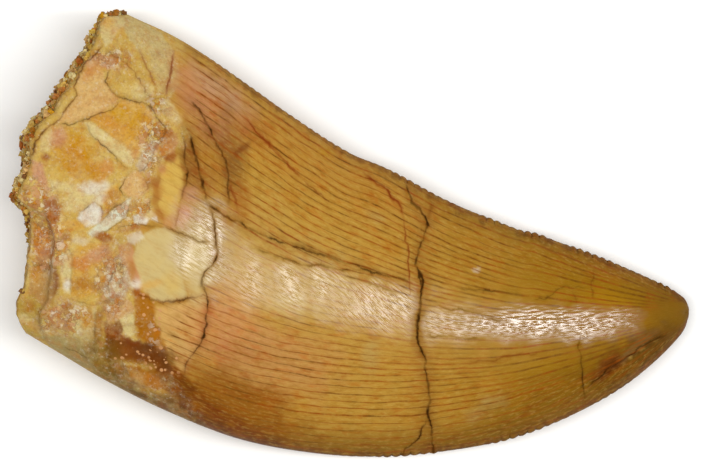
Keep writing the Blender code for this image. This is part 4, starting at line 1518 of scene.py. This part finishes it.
    @staticmethod
    def sides(triangles: np.ndarray) -> tuple[np.ndarray, np.ndarray, np.ndarray]:
        """List the triangles' sides, each one once.

        Args:
            triangles: rows of three points.

        Returns:
            Each side's two ends, and for each triangle the numbers of its three sides.
        """
        ends = np.concatenate([triangles[:, [0, 1]], triangles[:, [1, 2]], triangles[:, [2, 0]]])
        ends.sort(axis=1)
        count = triangles.max() + 1
        key, which = np.unique(ends[:, 0] * count + ends[:, 1], return_inverse=True)
        return key // count, key % count, which.reshape(3, -1).T

    def refined(self, spots: np.ndarray, triangles: np.ndarray,
                rounds: int = 12) -> tuple[np.ndarray, np.ndarray]:
        """Halve long sides until every triangle is as small as its place wants.

        Args:
            spots: rows of run, across and side.
            triangles: rows of three spots.
            rounds: the most times to go over the mesh.

        Returns:
            The finer mesh's spots and triangles.
        """
        for _ in range(rounds):
            place = self.form.place(spots)
            a, b, which = self.sides(triangles)
            length = np.linalg.norm(place[a] - place[b], axis=1)
            middle = 0.5 * (spots[a] + spots[b])
            split = length > 1.25 * self.crack_mesh
            midway = 0.5 * (place[a] + place[b])
            split[split] = length[split] > 1.25 * self.wanted(middle[split], midway[split])
            longest = np.take_along_axis(which, length[which].argmax(axis=1)[:, None], axis=1)[:, 0]
            for _ in range(8):
                also = longest[split[which].any(axis=1)]
                if split[also].all():
                    break
                split[also] = True
            if not split.any():
                break
            number = np.full(len(a), -1)
            number[split] = len(spots) + np.arange(int(split.sum()))
            spots = np.vstack([spots, middle[split]])
            triangles = self.cut(triangles, number[which], length[which])
        return spots, triangles

    def scored(self, spots: np.ndarray, triangles: np.ndarray,
               rounds: int = 3) -> tuple[np.ndarray, np.ndarray]:
        """Cut the triangles along the cracks and slits, so that each has points right on its line.

        Args:
            spots: rows of run, across and side.
            triangles: rows of three spots.
            rounds: how many times to cut, for lines that cross.

        Returns:
            The new spots and triangles.
        """
        for _ in range(rounds):
            place = self.form.place(spots)
            a, b, which = self.sides(triangles)
            length = np.linalg.norm(place[a] - place[b], axis=1)
            share = np.full(len(a), -1.0)
            for off in self.offsets(spots, place):
                farther = np.maximum(np.abs(off[a]), np.abs(off[b]))
                crossed = (off[a] * off[b] < 0.0) & (farther < 2.0 * self.crack_mesh)
                here = np.flatnonzero(crossed)
                at = off[a[here]] / (off[a[here]] - off[b[here]])
                inside = (at > 0.15) & (at < 0.85)
                share[here[inside]] = at[inside]
            split = share >= 0.0
            if not split.any():
                break
            number = np.full(len(a), -1)
            number[split] = len(spots) + np.arange(int(split.sum()))
            spots = np.vstack([spots, mix(spots[a], spots[b], share[:, None])[split]])
            triangles = self.cut(triangles, number[which], length[which])
        return spots, triangles

    def offsets(self, spots: np.ndarray, place: np.ndarray) -> list[np.ndarray]:
        """Give every point's distance, positive on one side, to each crack and to the nearest slit.

        Args:
            spots: rows of run, across and side.
            place: rows of x, y and z.

        Returns:
            One array for each line, far away where the line doesn't reach.
        """
        upper = spots[:, 2] >= 0.0
        warped = self.warped(self.viewpoint.seen(place))
        lines = []
        for crack, shown in self.cracks(upper):
            off, share = crack.path.nearest(warped, margin=3.0 * self.crack_mesh)
            lines.append(np.where(shown & (share > 0.0) & (share < 1.0), off, FAR_AWAY))
        phase, there, _, margin = self.denticle_phase(spots)
        off = (phase - np.round(phase)) * self.form.denticle_pitch
        reached = (margin < 0.9) & (there > 0.05) & (spots[:, 0] > 0.0)
        lines.append(np.where(reached, off, FAR_AWAY))
        return lines

    @staticmethod
    def cut(triangles: np.ndarray, middles: np.ndarray, lengths: np.ndarray) -> np.ndarray:
        """Cut triangles at the middles of their split sides.

        Args:
            triangles: rows of three spots.
            middles: for each side, the new spot at its middle, or -1.
            lengths: for each side, its length.

        Returns:
            The new triangles.
        """
        count = (middles >= 0).sum(axis=1)
        done = [triangles[count == 0]]
        for turn in range(3):
            order = [(turn + k) % 3 for k in range(3)]
            tri, mid, size = triangles[:, order], middles[:, order], lengths[:, order]
            one = (count == 1) & (mid[:, 0] >= 0)
            (a, b, c), m = tri[one].T, mid[one, 0]
            done += [np.stack([a, m, c], 1), np.stack([m, b, c], 1)]
            two = (count == 2) & (mid[:, 2] < 0)
            first_longer = size[:, 0] >= size[:, 1]
            (a, b, c), (m, n, _) = tri[two & first_longer].T, mid[two & first_longer].T
            done += [np.stack([m, b, n], 1), np.stack([m, n, c], 1), np.stack([a, m, c], 1)]
            (a, b, c), (m, n, _) = tri[two & ~first_longer].T, mid[two & ~first_longer].T
            done += [np.stack([m, b, n], 1), np.stack([a, m, n], 1), np.stack([a, n, c], 1)]
        (a, b, c), (m, n, o) = triangles[count == 3].T, middles[count == 3].T
        done += [np.stack(three, 1) for three in ((a, m, o), (m, b, n), (o, n, c), (m, n, o))]
        return np.vstack(done)

    @staticmethod
    def welded(spots: np.ndarray, place: np.ndarray, triangles: np.ndarray) -> tuple:
        """Join the points that coincide, at the tip and along the fold of the broken face.

        Args:
            spots: rows of run, across and side.
            place: rows of x, y and z.
            triangles: rows of three points.

        Returns:
            The spots, places and triangles that are left.
        """
        _, first, index = np.unique(np.round(place / 0.002).astype(np.int64), axis=0, return_index=True,
                                    return_inverse=True)
        triangles = index.reshape(-1)[triangles]
        real = ((triangles[:, 0] != triangles[:, 1]) & (triangles[:, 1] != triangles[:, 2])
                & (triangles[:, 2] != triangles[:, 0]))
        return spots[first], place[first], triangles[real]

    @staticmethod
    def normals(place: np.ndarray, triangles: np.ndarray) -> np.ndarray:
        """Give each point's outward direction."""
        a, b, c = (place[triangles[:, k]] for k in range(3))
        face = np.cross(b - a, c - a)
        total = np.stack([np.bincount(triangles.ravel(), np.repeat(face[:, k], 3), len(place))
                          for k in range(3)], axis=1)
        return total / np.maximum(np.linalg.norm(total, axis=1), 1e-12)[:, None]

    def line_number(self, u: np.ndarray, v: np.ndarray) -> tuple[np.ndarray, np.ndarray]:
        """Count the growth lines across the crown: parallel to either edge, crowded where they meet.

        Args:
            u: share along the edges.
            v: share across.

        Returns:
            The count, whole at each line, and the gap between lines.
        """
        width = self.form.width(u)
        rows = width / mix(*self.line_gap, u)
        middle, reach = self.line_turn
        share = np.clip((v - middle + reach) / (2.0 * reach), 0.0, 1.0)
        blend = share * share * (3.0 - 2.0 * share)
        count = mix(v * rows, self.line_count - (1.0 - v) * rows, blend)
        crowding = rows + 3.0 * share * (1.0 - share) / reach * (self.line_count - rows)
        return count, width / np.maximum(crowding, 1.0)

    def scars(self, upper: np.ndarray, warped: np.ndarray) -> np.ndarray:
        """Work out what the cracks do to the surface.

        Args:
            upper: whether each point is on the upper side.
            warped: rows of x and y in the picture, shifted by noise.

        Returns:
            Four rows: how dark, how rusty and how softly shaded each point is, and how deep it is cut.
        """
        crack, rust, smoke, groove = np.zeros((4, len(upper)))
        for number, (one, shown) in enumerate(self.cracks(upper)):
            away, share = one.path.nearest(warped, margin=1.5)
            away = np.abs(away)
            reach = share * one.path.length
            ends_fade = smoothstep(-0.05, 0.9, reach) * smoothstep(-0.05, 0.9, one.path.length - reach)
            along = np.stack([reach * 1.7, np.full(len(reach), number * 9.1)], 1)
            patchy = 0.78 + 0.45 * value_noise(along, 5)
            shown = shown * (0.25 + 0.75 * ends_fade)
            half = one.width * (0.85 + 0.22 * patchy)
            core = (1.0 - smoothstep(0.35 * half, 1.25 * half, away)) * shown
            glow = (1.0 - smoothstep(0.0, one.halo + one.width, away)) * shown
            cut = (1.0 - smoothstep(0.2 * half, 1.5 * half, away)) * shown
            dark = np.clip(1.15 * one.dark * np.clip(patchy, 0.45, 1.1), 0.0, 1.0) ** 0.67
            rusty = np.maximum(core, 0.45 * glow) * one.rust * np.clip(patchy + 0.2, 0.0, 1.0)
            crack = np.maximum(crack, core * dark)
            rust = np.maximum(rust, rusty)
            smoke = np.maximum(smoke, glow * one.dark * np.clip(patchy, 0.0, 1.0))
            groove = np.maximum(groove, cut * self.crack_cut * one.depth)
        return np.stack([np.clip(crack, 0.0, 1.0), np.clip(rust, 0.0, 1.0), smoke, groove])

    def polished(self, u: np.ndarray, seen: np.ndarray, warped: np.ndarray, ragged: np.ndarray) -> np.ndarray:
        """Give how smoothly the enamel is worn, in bars across the crown.

        Args:
            u: share along the edges.
            seen: rows of x and y in the picture.
            warped: the same, shifted by noise.
            ragged: noise that roughens the edges of the worn places.

        Returns:
            A share of about 0 to 1 for each point.
        """
        polish = np.zeros(len(u))
        for centre, reach, amount in POLISHED:
            polish = np.maximum(polish, amount * soft_oval(warped, ragged, centre, reach, 0.6))
        bars = np.sin(2.0 * math.pi * (seen[:, 0] + 0.9 * value_noise(seen * 0.5, 38)) / self.bar_length)
        return polish * (1.0 + self.bar_contrast * bars * (1.0 - smoothstep(0.35, 0.55, u)))

    @staticmethod
    def covered(ovals: tuple[Oval, ...], soft: float, warped: np.ndarray, ragged: np.ndarray) -> np.ndarray:
        """Give how much the ovals cover each point, by the one that covers it most."""
        return np.max([soft_oval(warped, ragged, *oval, soft) for oval in ovals], axis=0, initial=0.0)

    def fields(self, spots: np.ndarray, place: np.ndarray) -> dict[str, np.ndarray]:
        """Work out what the finish reads from the mesh: coordinates along the growth lines, and masks.

        Args:
            spots: rows of run, across and side.
            place: rows of x, y and z.

        Returns:
            One array for each field.
        """
        run, across, side = spots.T
        u = np.clip(run, 0.0, 1.0)
        upper, unbroken = side >= 0.0, run >= 0.0
        seen = self.viewpoint.seen(place)
        warped = self.warped(seen)
        ragged = layered_noise(seen * 1.3, 23)
        line, spacing = self.line_number(u, across)
        line += np.where(upper, 0.0, self.lower_line)
        boundary = Path(in_mm(ENAMEL_EDGE)).nearest(warped)[0]
        boundary += np.where(upper, 0.35 * layered_noise(seen * 1.1, 41), 1.5 * value_noise(seen * 0.3, 40))
        soft = mix(0.16, 0.75, smoothstep(8.0, 11.0, seen[:, 1]))
        enamel = 1.0 - smoothstep(-1.0, 1.0, boundary / soft)
        crack, rust, smoke, groove = self.scars(upper, warped)
        polish = self.polished(u, seen, warped, ragged)
        gloss = enamel * mix(self.finish.plain_gloss, 1.0, polish) * unbroken * (1.0 - 0.6 * smoke)
        gloss *= mix(1.0, 0.15, smoothstep(*self.dull_tip, u))
        tint, rise = self.tinted(u, across, upper, seen, warped, enamel, ragged)
        smoked = tint * Tint.SMOKE_BROWN.linear / Tint.STRAW.linear
        crest = np.exp(-((across - 0.5) / 0.13) ** 2) * (1.0 - smoothstep(0.35, 0.6, u))
        regional = np.clip(0.95 + 0.5 * layered_noise(seen * 0.25, 81), 0.4, 1.0)
        growth = enamel * unbroken * regional * (1.0 - 0.65 * crest)
        growth *= (1.0 - PLAIN_PLATE.cover(warped) * upper) * (1.0 - 0.6 * np.clip(polish, 0.0, 1.0))
        for oval in CALM:
            growth *= 1.0 - 0.7 * soft_oval(warped, ragged, *oval, 0.5) * upper
        crowded = smoothstep(*self.crowded_gap, spacing)
        sparse = growth * smoothstep(*self.sparse_gap, spacing) * (1.0 - crowded)
        growth = growth * crowded
        leaning = (seen[:, 1] - self.braid_centre[1]) - self.braid_lean * (seen[:, 0] - self.braid_centre[0])
        return {
            "along": u * self.form.mesial.length, "line": line, "spacing": spacing, "sparse": sparse,
            "growth": np.clip(growth * mix(1.35, 1.25, smoothstep(0.30, 0.45, u)), 0.0, 1.0),
            "braid": mix(-leaning, (across - 0.5) * self.form.width(u), smoothstep(0.40, 0.62, u)),
            "crack": crack, "rust": rust, "groove": groove, "enamel": enamel * unbroken, "gloss": gloss,
            "sand": smoothstep(0.0, -0.10, run), "rise": rise,
            "tint": mix(tint, smoked, 0.45 * smoke[:, None]),
            "patch": self.covered(SPECKS, 0.3, warped, ragged) * upper * unbroken,
            "crushed": self.covered(CRUSHED, 0.4, warped, ragged) * upper * (1.0 - enamel)}

    def tinted(self, u: np.ndarray, v: np.ndarray, upper: np.ndarray, seen: np.ndarray, warped: np.ndarray,
               enamel: np.ndarray, ragged: np.ndarray) -> tuple[np.ndarray, np.ndarray]:
        """Colour the ground: the crown from honey to olive, darker along its edges partly by painted shade,
        then each stain in turn.

        Args:
            u: share along the edges.
            v: share across.
            upper: whether each point is on the upper side.
            seen: rows of x and y in the picture.
            warped: the same, shifted by noise.
            enamel: 1 on enamel, 0 where it is gone.
            ragged: noise that roughens the stains' edges.

        Returns:
            The linear colour and the rise of each point.
        """
        honey, amber, tip = (t.linear for t in (Tint.HONEY, Tint.AMBER, Tint.TIP_OLIVE))
        colour = mix(honey, amber, (smoothstep(0.42, 0.85, u + 0.05 * ragged))[:, None])
        colour = mix(colour, tip, (smoothstep(0.85, 0.97, u))[:, None])
        # The olive band along both edges, widest on the lower side: partly the edges' own olive, partly
        # painted shade where the crown turns away from the light.
        margin = np.minimum(v, 1.0 - v) * self.form.width(u)
        low_edge = smoothstep(0.4, 0.6, v)
        edge_olive_and_shade = 1.0 - smoothstep(0.1, mix(1.4, 2.8, low_edge), margin + 0.3 * ragged)
        edge_olive_and_shade = edge_olive_and_shade * smoothstep(0.15, 0.45, u)
        colour = mix(colour, Tint.OLIVE_AND_EDGE_SHADE.linear, (mix(0.5, 0.85, low_edge) * edge_olive_and_shade)[:, None])
        grime, crumbly = self.grime(u, v, seen)
        colour = mix(Tint.TAN.linear, colour, enamel[:, None])
        rise = np.zeros(len(u))
        for plate in PLATES:
            cover = plate.cover(mix(seen, warped, plate.ragged)) * upper
            colour = mix(colour, plate.tint.linear, (cover * plate.strength)[:, None])
            rise += cover * plate.rise
        for stain in STAINS:
            cover = stain.cover(warped, ragged) * upper
            colour = mix(colour, stain.tint.linear, (cover * stain.strength)[:, None])
        colour *= mix(0.93, 1.0, enamel)[:, None]
        colour = mix(colour, Tint.DARK_UMBER.linear, (mix(0.62, 0.85, crumbly) * grime)[:, None])
        blotch = smoothstep(0.1, 0.6, layered_noise(seen * 0.35, 61)) * ~upper
        colour = mix(colour, Tint.ROSE_HONEY.linear, 0.5 * (blotch * enamel)[:, None])
        colour = mix(colour, Tint.MUSTARD.linear, 0.6 * (blotch * (1.0 - enamel))[:, None])
        return colour, rise

    def grime(self, u: np.ndarray, v: np.ndarray, seen: np.ndarray) -> tuple[np.ndarray, np.ndarray]:
        """Place the dark grime along the edges, broad and crumbly near the mesial side of the base.

        Args:
            u: share along the edges.
            v: share across.
            seen: rows of x and y in the picture.

        Returns:
            How thick the grime lies and how crumbly it is.
        """
        margin = np.minimum(v, 1.0 - v) * self.form.width(u)
        crumbly = (1.0 - smoothstep(0.30, 0.50, u)) * (v > 0.5)
        grime = 1.0 - smoothstep(0.05, 0.50 + 0.80 * crumbly, margin + 0.45 * layered_noise(seen * 2.2, 53))
        return grime * smoothstep(0.05, 0.20, u), crumbly

    def denticle_phase(self, spots: np.ndarray) -> tuple[np.ndarray, ...]:
        """Count the denticles along the edges.

        Args:
            spots: rows of run, across and side.

        Returns:
            The count, whole at each slit; a share that is 1 where there are denticles; how high they still
            are; and the distance from the edge.
        """
        u, across = np.clip(spots[:, 0], 0.0, 1.0), spots[:, 1]
        distal = across < 0.5
        start = np.where(distal, self.form.distal_denticles_from, self.form.mesial_denticles_from)
        span = self.form.denticles_to - self.form.distal_denticles_from
        number = (u - self.form.distal_denticles_from) / span * self.form.denticles
        uneven = value_noise(np.stack([number * 0.33, distal * 40.0], axis=1), 71)
        worn = np.clip(0.62 + 0.85 * uneven, 0.05, 1.15)
        worn *= np.where(distal, mix(0.40, 1.0, smoothstep(0.35, 0.65, u)), 0.70)
        there = smoothstep(-0.01, 0.06, u - start) * (1.0 - smoothstep(0.0, 0.03, u - self.form.denticles_to))
        return number + 0.10 * uneven, there, worn, np.minimum(across, 1.0 - across) * self.form.width(u)

    def serrated(self, spots: np.ndarray, place: np.ndarray, fields: dict[str, np.ndarray]) -> np.ndarray:
        """Draw the denticles out of the edges: rounded tops with narrow slits between them.

        Args:
            spots: rows of run, across and side.
            place: rows of x, y and z.
            fields: the mesh's fields, to which the slits' grooves and the painted shade between denticles are
                added.

        Returns:
            The new places.
        """
        phase, there, worn, margin = self.denticle_phase(spots)
        u, distal = np.clip(spots[:, 0], 0.0, 1.0), spots[:, 1] < 0.5
        top = 1.0 - np.abs(2.0 * (phase - np.floor(phase)) - 1.0) ** 2.2
        size = self.form.denticle_height * worn * there
        step = size * (top - 0.5) * np.exp(-(margin / 0.30) ** 2)
        outward = self.form.distal.at(u) - self.form.mesial.at(u)
        outward /= np.maximum(np.linalg.norm(outward, axis=1), 1e-9)[:, None]
        moved = place.copy()
        moved[:, :2] += outward * (step * np.where(distal, 1.0, -1.0))[:, None]
        slit = np.exp(-((1.0 - np.abs(2.0 * (phase - np.floor(phase)) - 1.0)) / 0.30) ** 2) * there * worn
        slit *= 1.0 - smoothstep(0.15, 0.85, margin)
        fields["groove"] = np.maximum(fields["groove"], self.slit_cut * slit)
        # Painted shade in the slits between denticles, laid into the crack darkness.
        fields["crack"] = np.maximum(fields["crack"], self.slit_shade * slit)
        return moved

    def relief(self, spots: np.ndarray, place: np.ndarray, fields: dict[str, np.ndarray]) -> np.ndarray:
        """Give how far each point stands out of the plain form.

        Args:
            spots: rows of run, across and side.
            place: rows of x, y and z.
            fields: the mesh's fields.

        Returns:
            The rise of each point, below zero in a groove.
        """
        run, across, side = spots.T
        upper = side >= 0.0
        margin = np.minimum(across, 1.0 - across) * self.form.width(np.clip(run, 0.0, 1.0))
        inner = smoothstep(0.0, 0.8, margin)
        crown = fields["enamel"]
        swell = self.broad_swell * layered_noise(place * 0.22, 31)
        swell += self.fine_swell * layered_noise(place * 0.9, 32)
        crest = np.exp(-((across - 0.49) / self.ridge_width) ** 2) * upper
        swell += self.ridge_height * crest * smoothstep(0.0, 0.08, run)
        shifted = place[:, 0] + 0.6 * value_noise(place * 0.5, 38)
        ripple = np.sin(2.0 * math.pi * shifted / self.ripple_length)
        swell += self.ripple_height * ripple * crown * upper * (1.0 - smoothstep(0.45, 0.6, run))
        chipped = (1.0 - crown) * upper * (run >= 0.0)
        big, small = self.chip_relief
        rough = chipped * (big * layered_noise(place * 0.8, 33) + small * layered_noise(place * 2.6, 34))
        broken = (run < 0.0) * np.sin(math.pi * np.clip(across, 0.02, 0.98)) ** 0.5
        big, small = self.break_relief
        lumps = broken * (big * layered_noise(place * 1.1, 35) + small * value_noise(place * 3.3, 36) - 0.05)
        pits = fields["patch"] * self.pit_depth * value_noise(place * 4.0, 37)
        return inner * (swell + rough + 2.0 * fields["rise"] + pits) - fields["groove"] + lumps


@dataclass(frozen=True)
class CementedSand:
    """Desert sand cemented by iron and lime: rounded quartz grains in an orange crust, slightly waxy."""

    ior: float = 1.54
    gloss_level: float = 0.12
    roughness: float = 0.55
    film: str = "#8a5a24"

    def build(self) -> bpy.types.Material:
        """Make the material with its nodes."""
        material, shader = new_material("cemented_sand")
        tree = material.node_tree
        place = place_in_mm(tree)
        tint = add(tree, Node.ATTRIBUTE, {}, "Color", attribute_name="tint", attribute_type="GEOMETRY")
        cloud = add(tree, Node.NOISE, {"Vector": place, "Scale": 4.0, "Detail": 3.0})
        share = add(tree, Node.MAP_RANGE, {"Value": cloud, "From Min": 0.45, "From Max": 0.75})
        colour = add(tree, Node.MIX, {0: share, 6: tint, 7: opaque(self.film)}, 2, data_type="RGBA")
        tree.links.new(colour, shader.inputs["Base Color"])
        bump = add(tree, Node.BUMP, {"Strength": 1.0, "Distance": 0.03 * MM, "Height": cloud}, "Normal")
        tree.links.new(bump, shader.inputs["Normal"])
        shader.inputs["Roughness"].default_value = self.roughness
        shader.inputs["IOR"].default_value = self.ior
        shader.inputs["Specular IOR Level"].default_value = self.gloss_level
        return material


@dataclass(frozen=True)
class SandCrust:
    """The sand grains that stand out of the broken base, one small rounded stone for each."""

    tooth: bpy.types.Object
    finish: CementedSand
    rim_grains: int = 700
    face_grains: int = 700
    smallest: float = 0.07
    largest: float = 0.27
    sunk: float = 0.55
    lumpiness: float = 0.28
    tints: tuple[Tint, ...] = (Tint.TERRACE, Tint.GOLD, Tint.CREAM, Tint.TAN, Tint.PEACH, Tint.CORNER_OLIVE,
                               Tint.ORANGE_BROWN, Tint.CREAM, Tint.CORNER_OLIVE, Tint.RUST, Tint.PALE_GREEN,
                               Tint.OCHRE, Tint.SMOKE_BROWN)

    def build(self) -> bpy.types.Object:
        """Scatter the grains over the broken face and join them into one mesh.

        Returns:
            The finished object.
        """
        chance = np.random.default_rng(7)
        centres, normals = self.scattered(chance)
        ball, faces = self.stone()
        count = len(centres)
        size = self.smallest + (self.largest - self.smallest) * chance.random(count) ** 2.0
        stretch = size[:, None] * chance.uniform(0.75, 1.25, (count, 3))
        turn = np.linalg.qr(chance.normal(size=(count, 3, 3)))[0]
        lumps = 1.0 + self.lumpiness * chance.normal(size=(count, len(ball), 1)).clip(-1.5, 1.5)
        points = (ball[None] * lumps * stretch[:, None, :]) @ turn
        points = points + (centres - normals * (self.sunk * size)[:, None])[:, None, :]
        points[:, :, 2] = np.maximum(points[:, :, 2], 0.0)
        triangles = (faces[None] + (np.arange(count) * len(ball))[:, None, None]).reshape(-1, 3)
        data = bpy.data.meshes.new("sand_crust")
        data.from_pydata((points.reshape(-1, 3) * MM).tolist(), [], triangles.tolist())
        tints = np.array([tint.linear for tint in self.tints])
        colour = tints[chance.integers(len(tints), size=count)] * chance.uniform(0.75, 1.25, (count, 1))
        tint_points(data, np.repeat(colour, len(ball), axis=0))
        data.materials.append(self.finish.build())
        return placed("sand_crust", data)

    def scattered(self, chance: np.random.Generator) -> tuple[np.ndarray, np.ndarray]:
        """Pick places on the broken face, closer together along its upper rim.

        Args:
            chance: the random numbers.

        Returns:
            The places in millimetres and the surface's directions there.
        """
        data = self.tooth.data
        count = len(data.polygons)
        centre, normal, area = np.empty(count * 3), np.empty(count * 3), np.empty(count)
        data.polygons.foreach_get("center", centre)
        data.polygons.foreach_get("normal", normal)
        data.polygons.foreach_get("area", area)
        centre, normal = centre.reshape(-1, 3) / MM, normal.reshape(-1, 3)
        corners = np.empty(count * 3, np.int32)
        data.polygons.foreach_get("vertices", corners)
        sand = np.empty(len(data.vertices))
        data.attributes["sand"].data.foreach_get("value", sand)
        sandy = sand[corners].reshape(-1, 3).mean(axis=1)
        crusty = smoothstep(-0.5, 1.0, centre[:, 1])
        rim = area * (sandy > 0.3) * smoothstep(0.15, 0.6, normal[:, 2]) * crusty
        face = area * (sandy > 0.5) * np.maximum(crusty, normal[:, 2] < -0.45)
        picked = np.concatenate([chance.choice(count, self.rim_grains, p=rim / rim.sum()),
                                 chance.choice(count, self.face_grains, p=face / face.sum())])
        return centre[picked], normal[picked]

    @staticmethod
    def stone() -> tuple[np.ndarray, np.ndarray]:
        """Give a plain ball of 80 faces to shape each grain from."""
        mesh = bmesh.new()
        bmesh.ops.create_icosphere(mesh, subdivisions=2, radius=1.0)
        ball = np.array([vertex.co[:] for vertex in mesh.verts])
        faces = np.array([[vertex.index for vertex in face.verts] for face in mesh.faces])
        mesh.free()
        return ball, faces


@dataclass(frozen=True)
class PaleFloor:
    """Matt white card, rolled smooth, so the eye gets an even pale ground with a soft contact shadow."""

    colour: str = "#f6f6f4"
    roughness: float = 0.9
    half_size: float = 1.5

    def build(self) -> bpy.types.Object:
        """Lay the floor and dress it."""
        around = ((-1, -1), (1, -1), (1, 1), (-1, 1))
        corners = [(x * self.half_size, y * self.half_size, 0.0) for x, y in around]
        data = bpy.data.meshes.new("floor")
        data.from_pydata(corners, [], [(0, 1, 2, 3)])
        material, shader = new_material("white_card")
        shader.inputs["Base Color"].default_value = opaque(self.colour)
        shader.inputs["Roughness"].default_value = self.roughness
        data.materials.append(material)
        return placed("floor", data)


@dataclass(frozen=True)
class Softbox:
    """A rectangular studio light that hangs level. Sizes are metres, the power is in watts."""

    name: str
    place: tuple[float, float, float]
    size: tuple[float, float]
    power: float

    def build(self) -> bpy.types.Object:
        """Hang the light."""
        data = bpy.data.lights.new(self.name, "AREA")
        data.shape, data.energy = "RECTANGLE", self.power
        data.size, data.size_y = self.size
        light = placed(self.name, data)
        light.location = self.place
        return light


@dataclass(frozen=True)
class Studio:
    """The plain soft light: a long box overhead, along the crest, with pale walls all round."""

    lights: tuple[Softbox, ...] = (
        Softbox("overhead_box", (0.14, -0.004, 0.50), (0.92, 0.070), 3.50),
    )
    wall_colour: str = "#ffffff"
    wall_strength: float = 0.345

    def build(self) -> None:
        """Hang the lights, light the walls and show colours as they are."""
        for light in self.lights:
            light.build()
        scene = bpy.context.scene
        scene.world = bpy.data.worlds.new("walls")
        scene.world.use_nodes = True
        background = scene.world.node_tree.nodes["Background"]
        background.inputs["Color"].default_value = opaque(self.wall_colour)
        background.inputs["Strength"].default_value = self.wall_strength
        scene.view_settings.view_transform = "Standard"


def main() -> None:
    """Build the scene piece by piece."""
    logging.basicConfig(level=logging.INFO, format="%(message)s")
    viewpoint = Viewpoint()
    viewpoint.build()
    Studio().build()
    floor = PaleFloor().build()
    tooth = FossilTooth(ToothForm(), viewpoint, FossilEnamel()).build()
    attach(tooth, "root")
    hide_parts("tooth")
    log.info("%s: %d triangles", tooth.name, len(tooth.data.polygons))
    crust = SandCrust(tooth, CementedSand()).build()
    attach(crust, "root")
    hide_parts("tooth")
    log.info("%s: %d triangles", crust.name, len(crust.data.polygons))


if __name__ == "__main__":
    main()
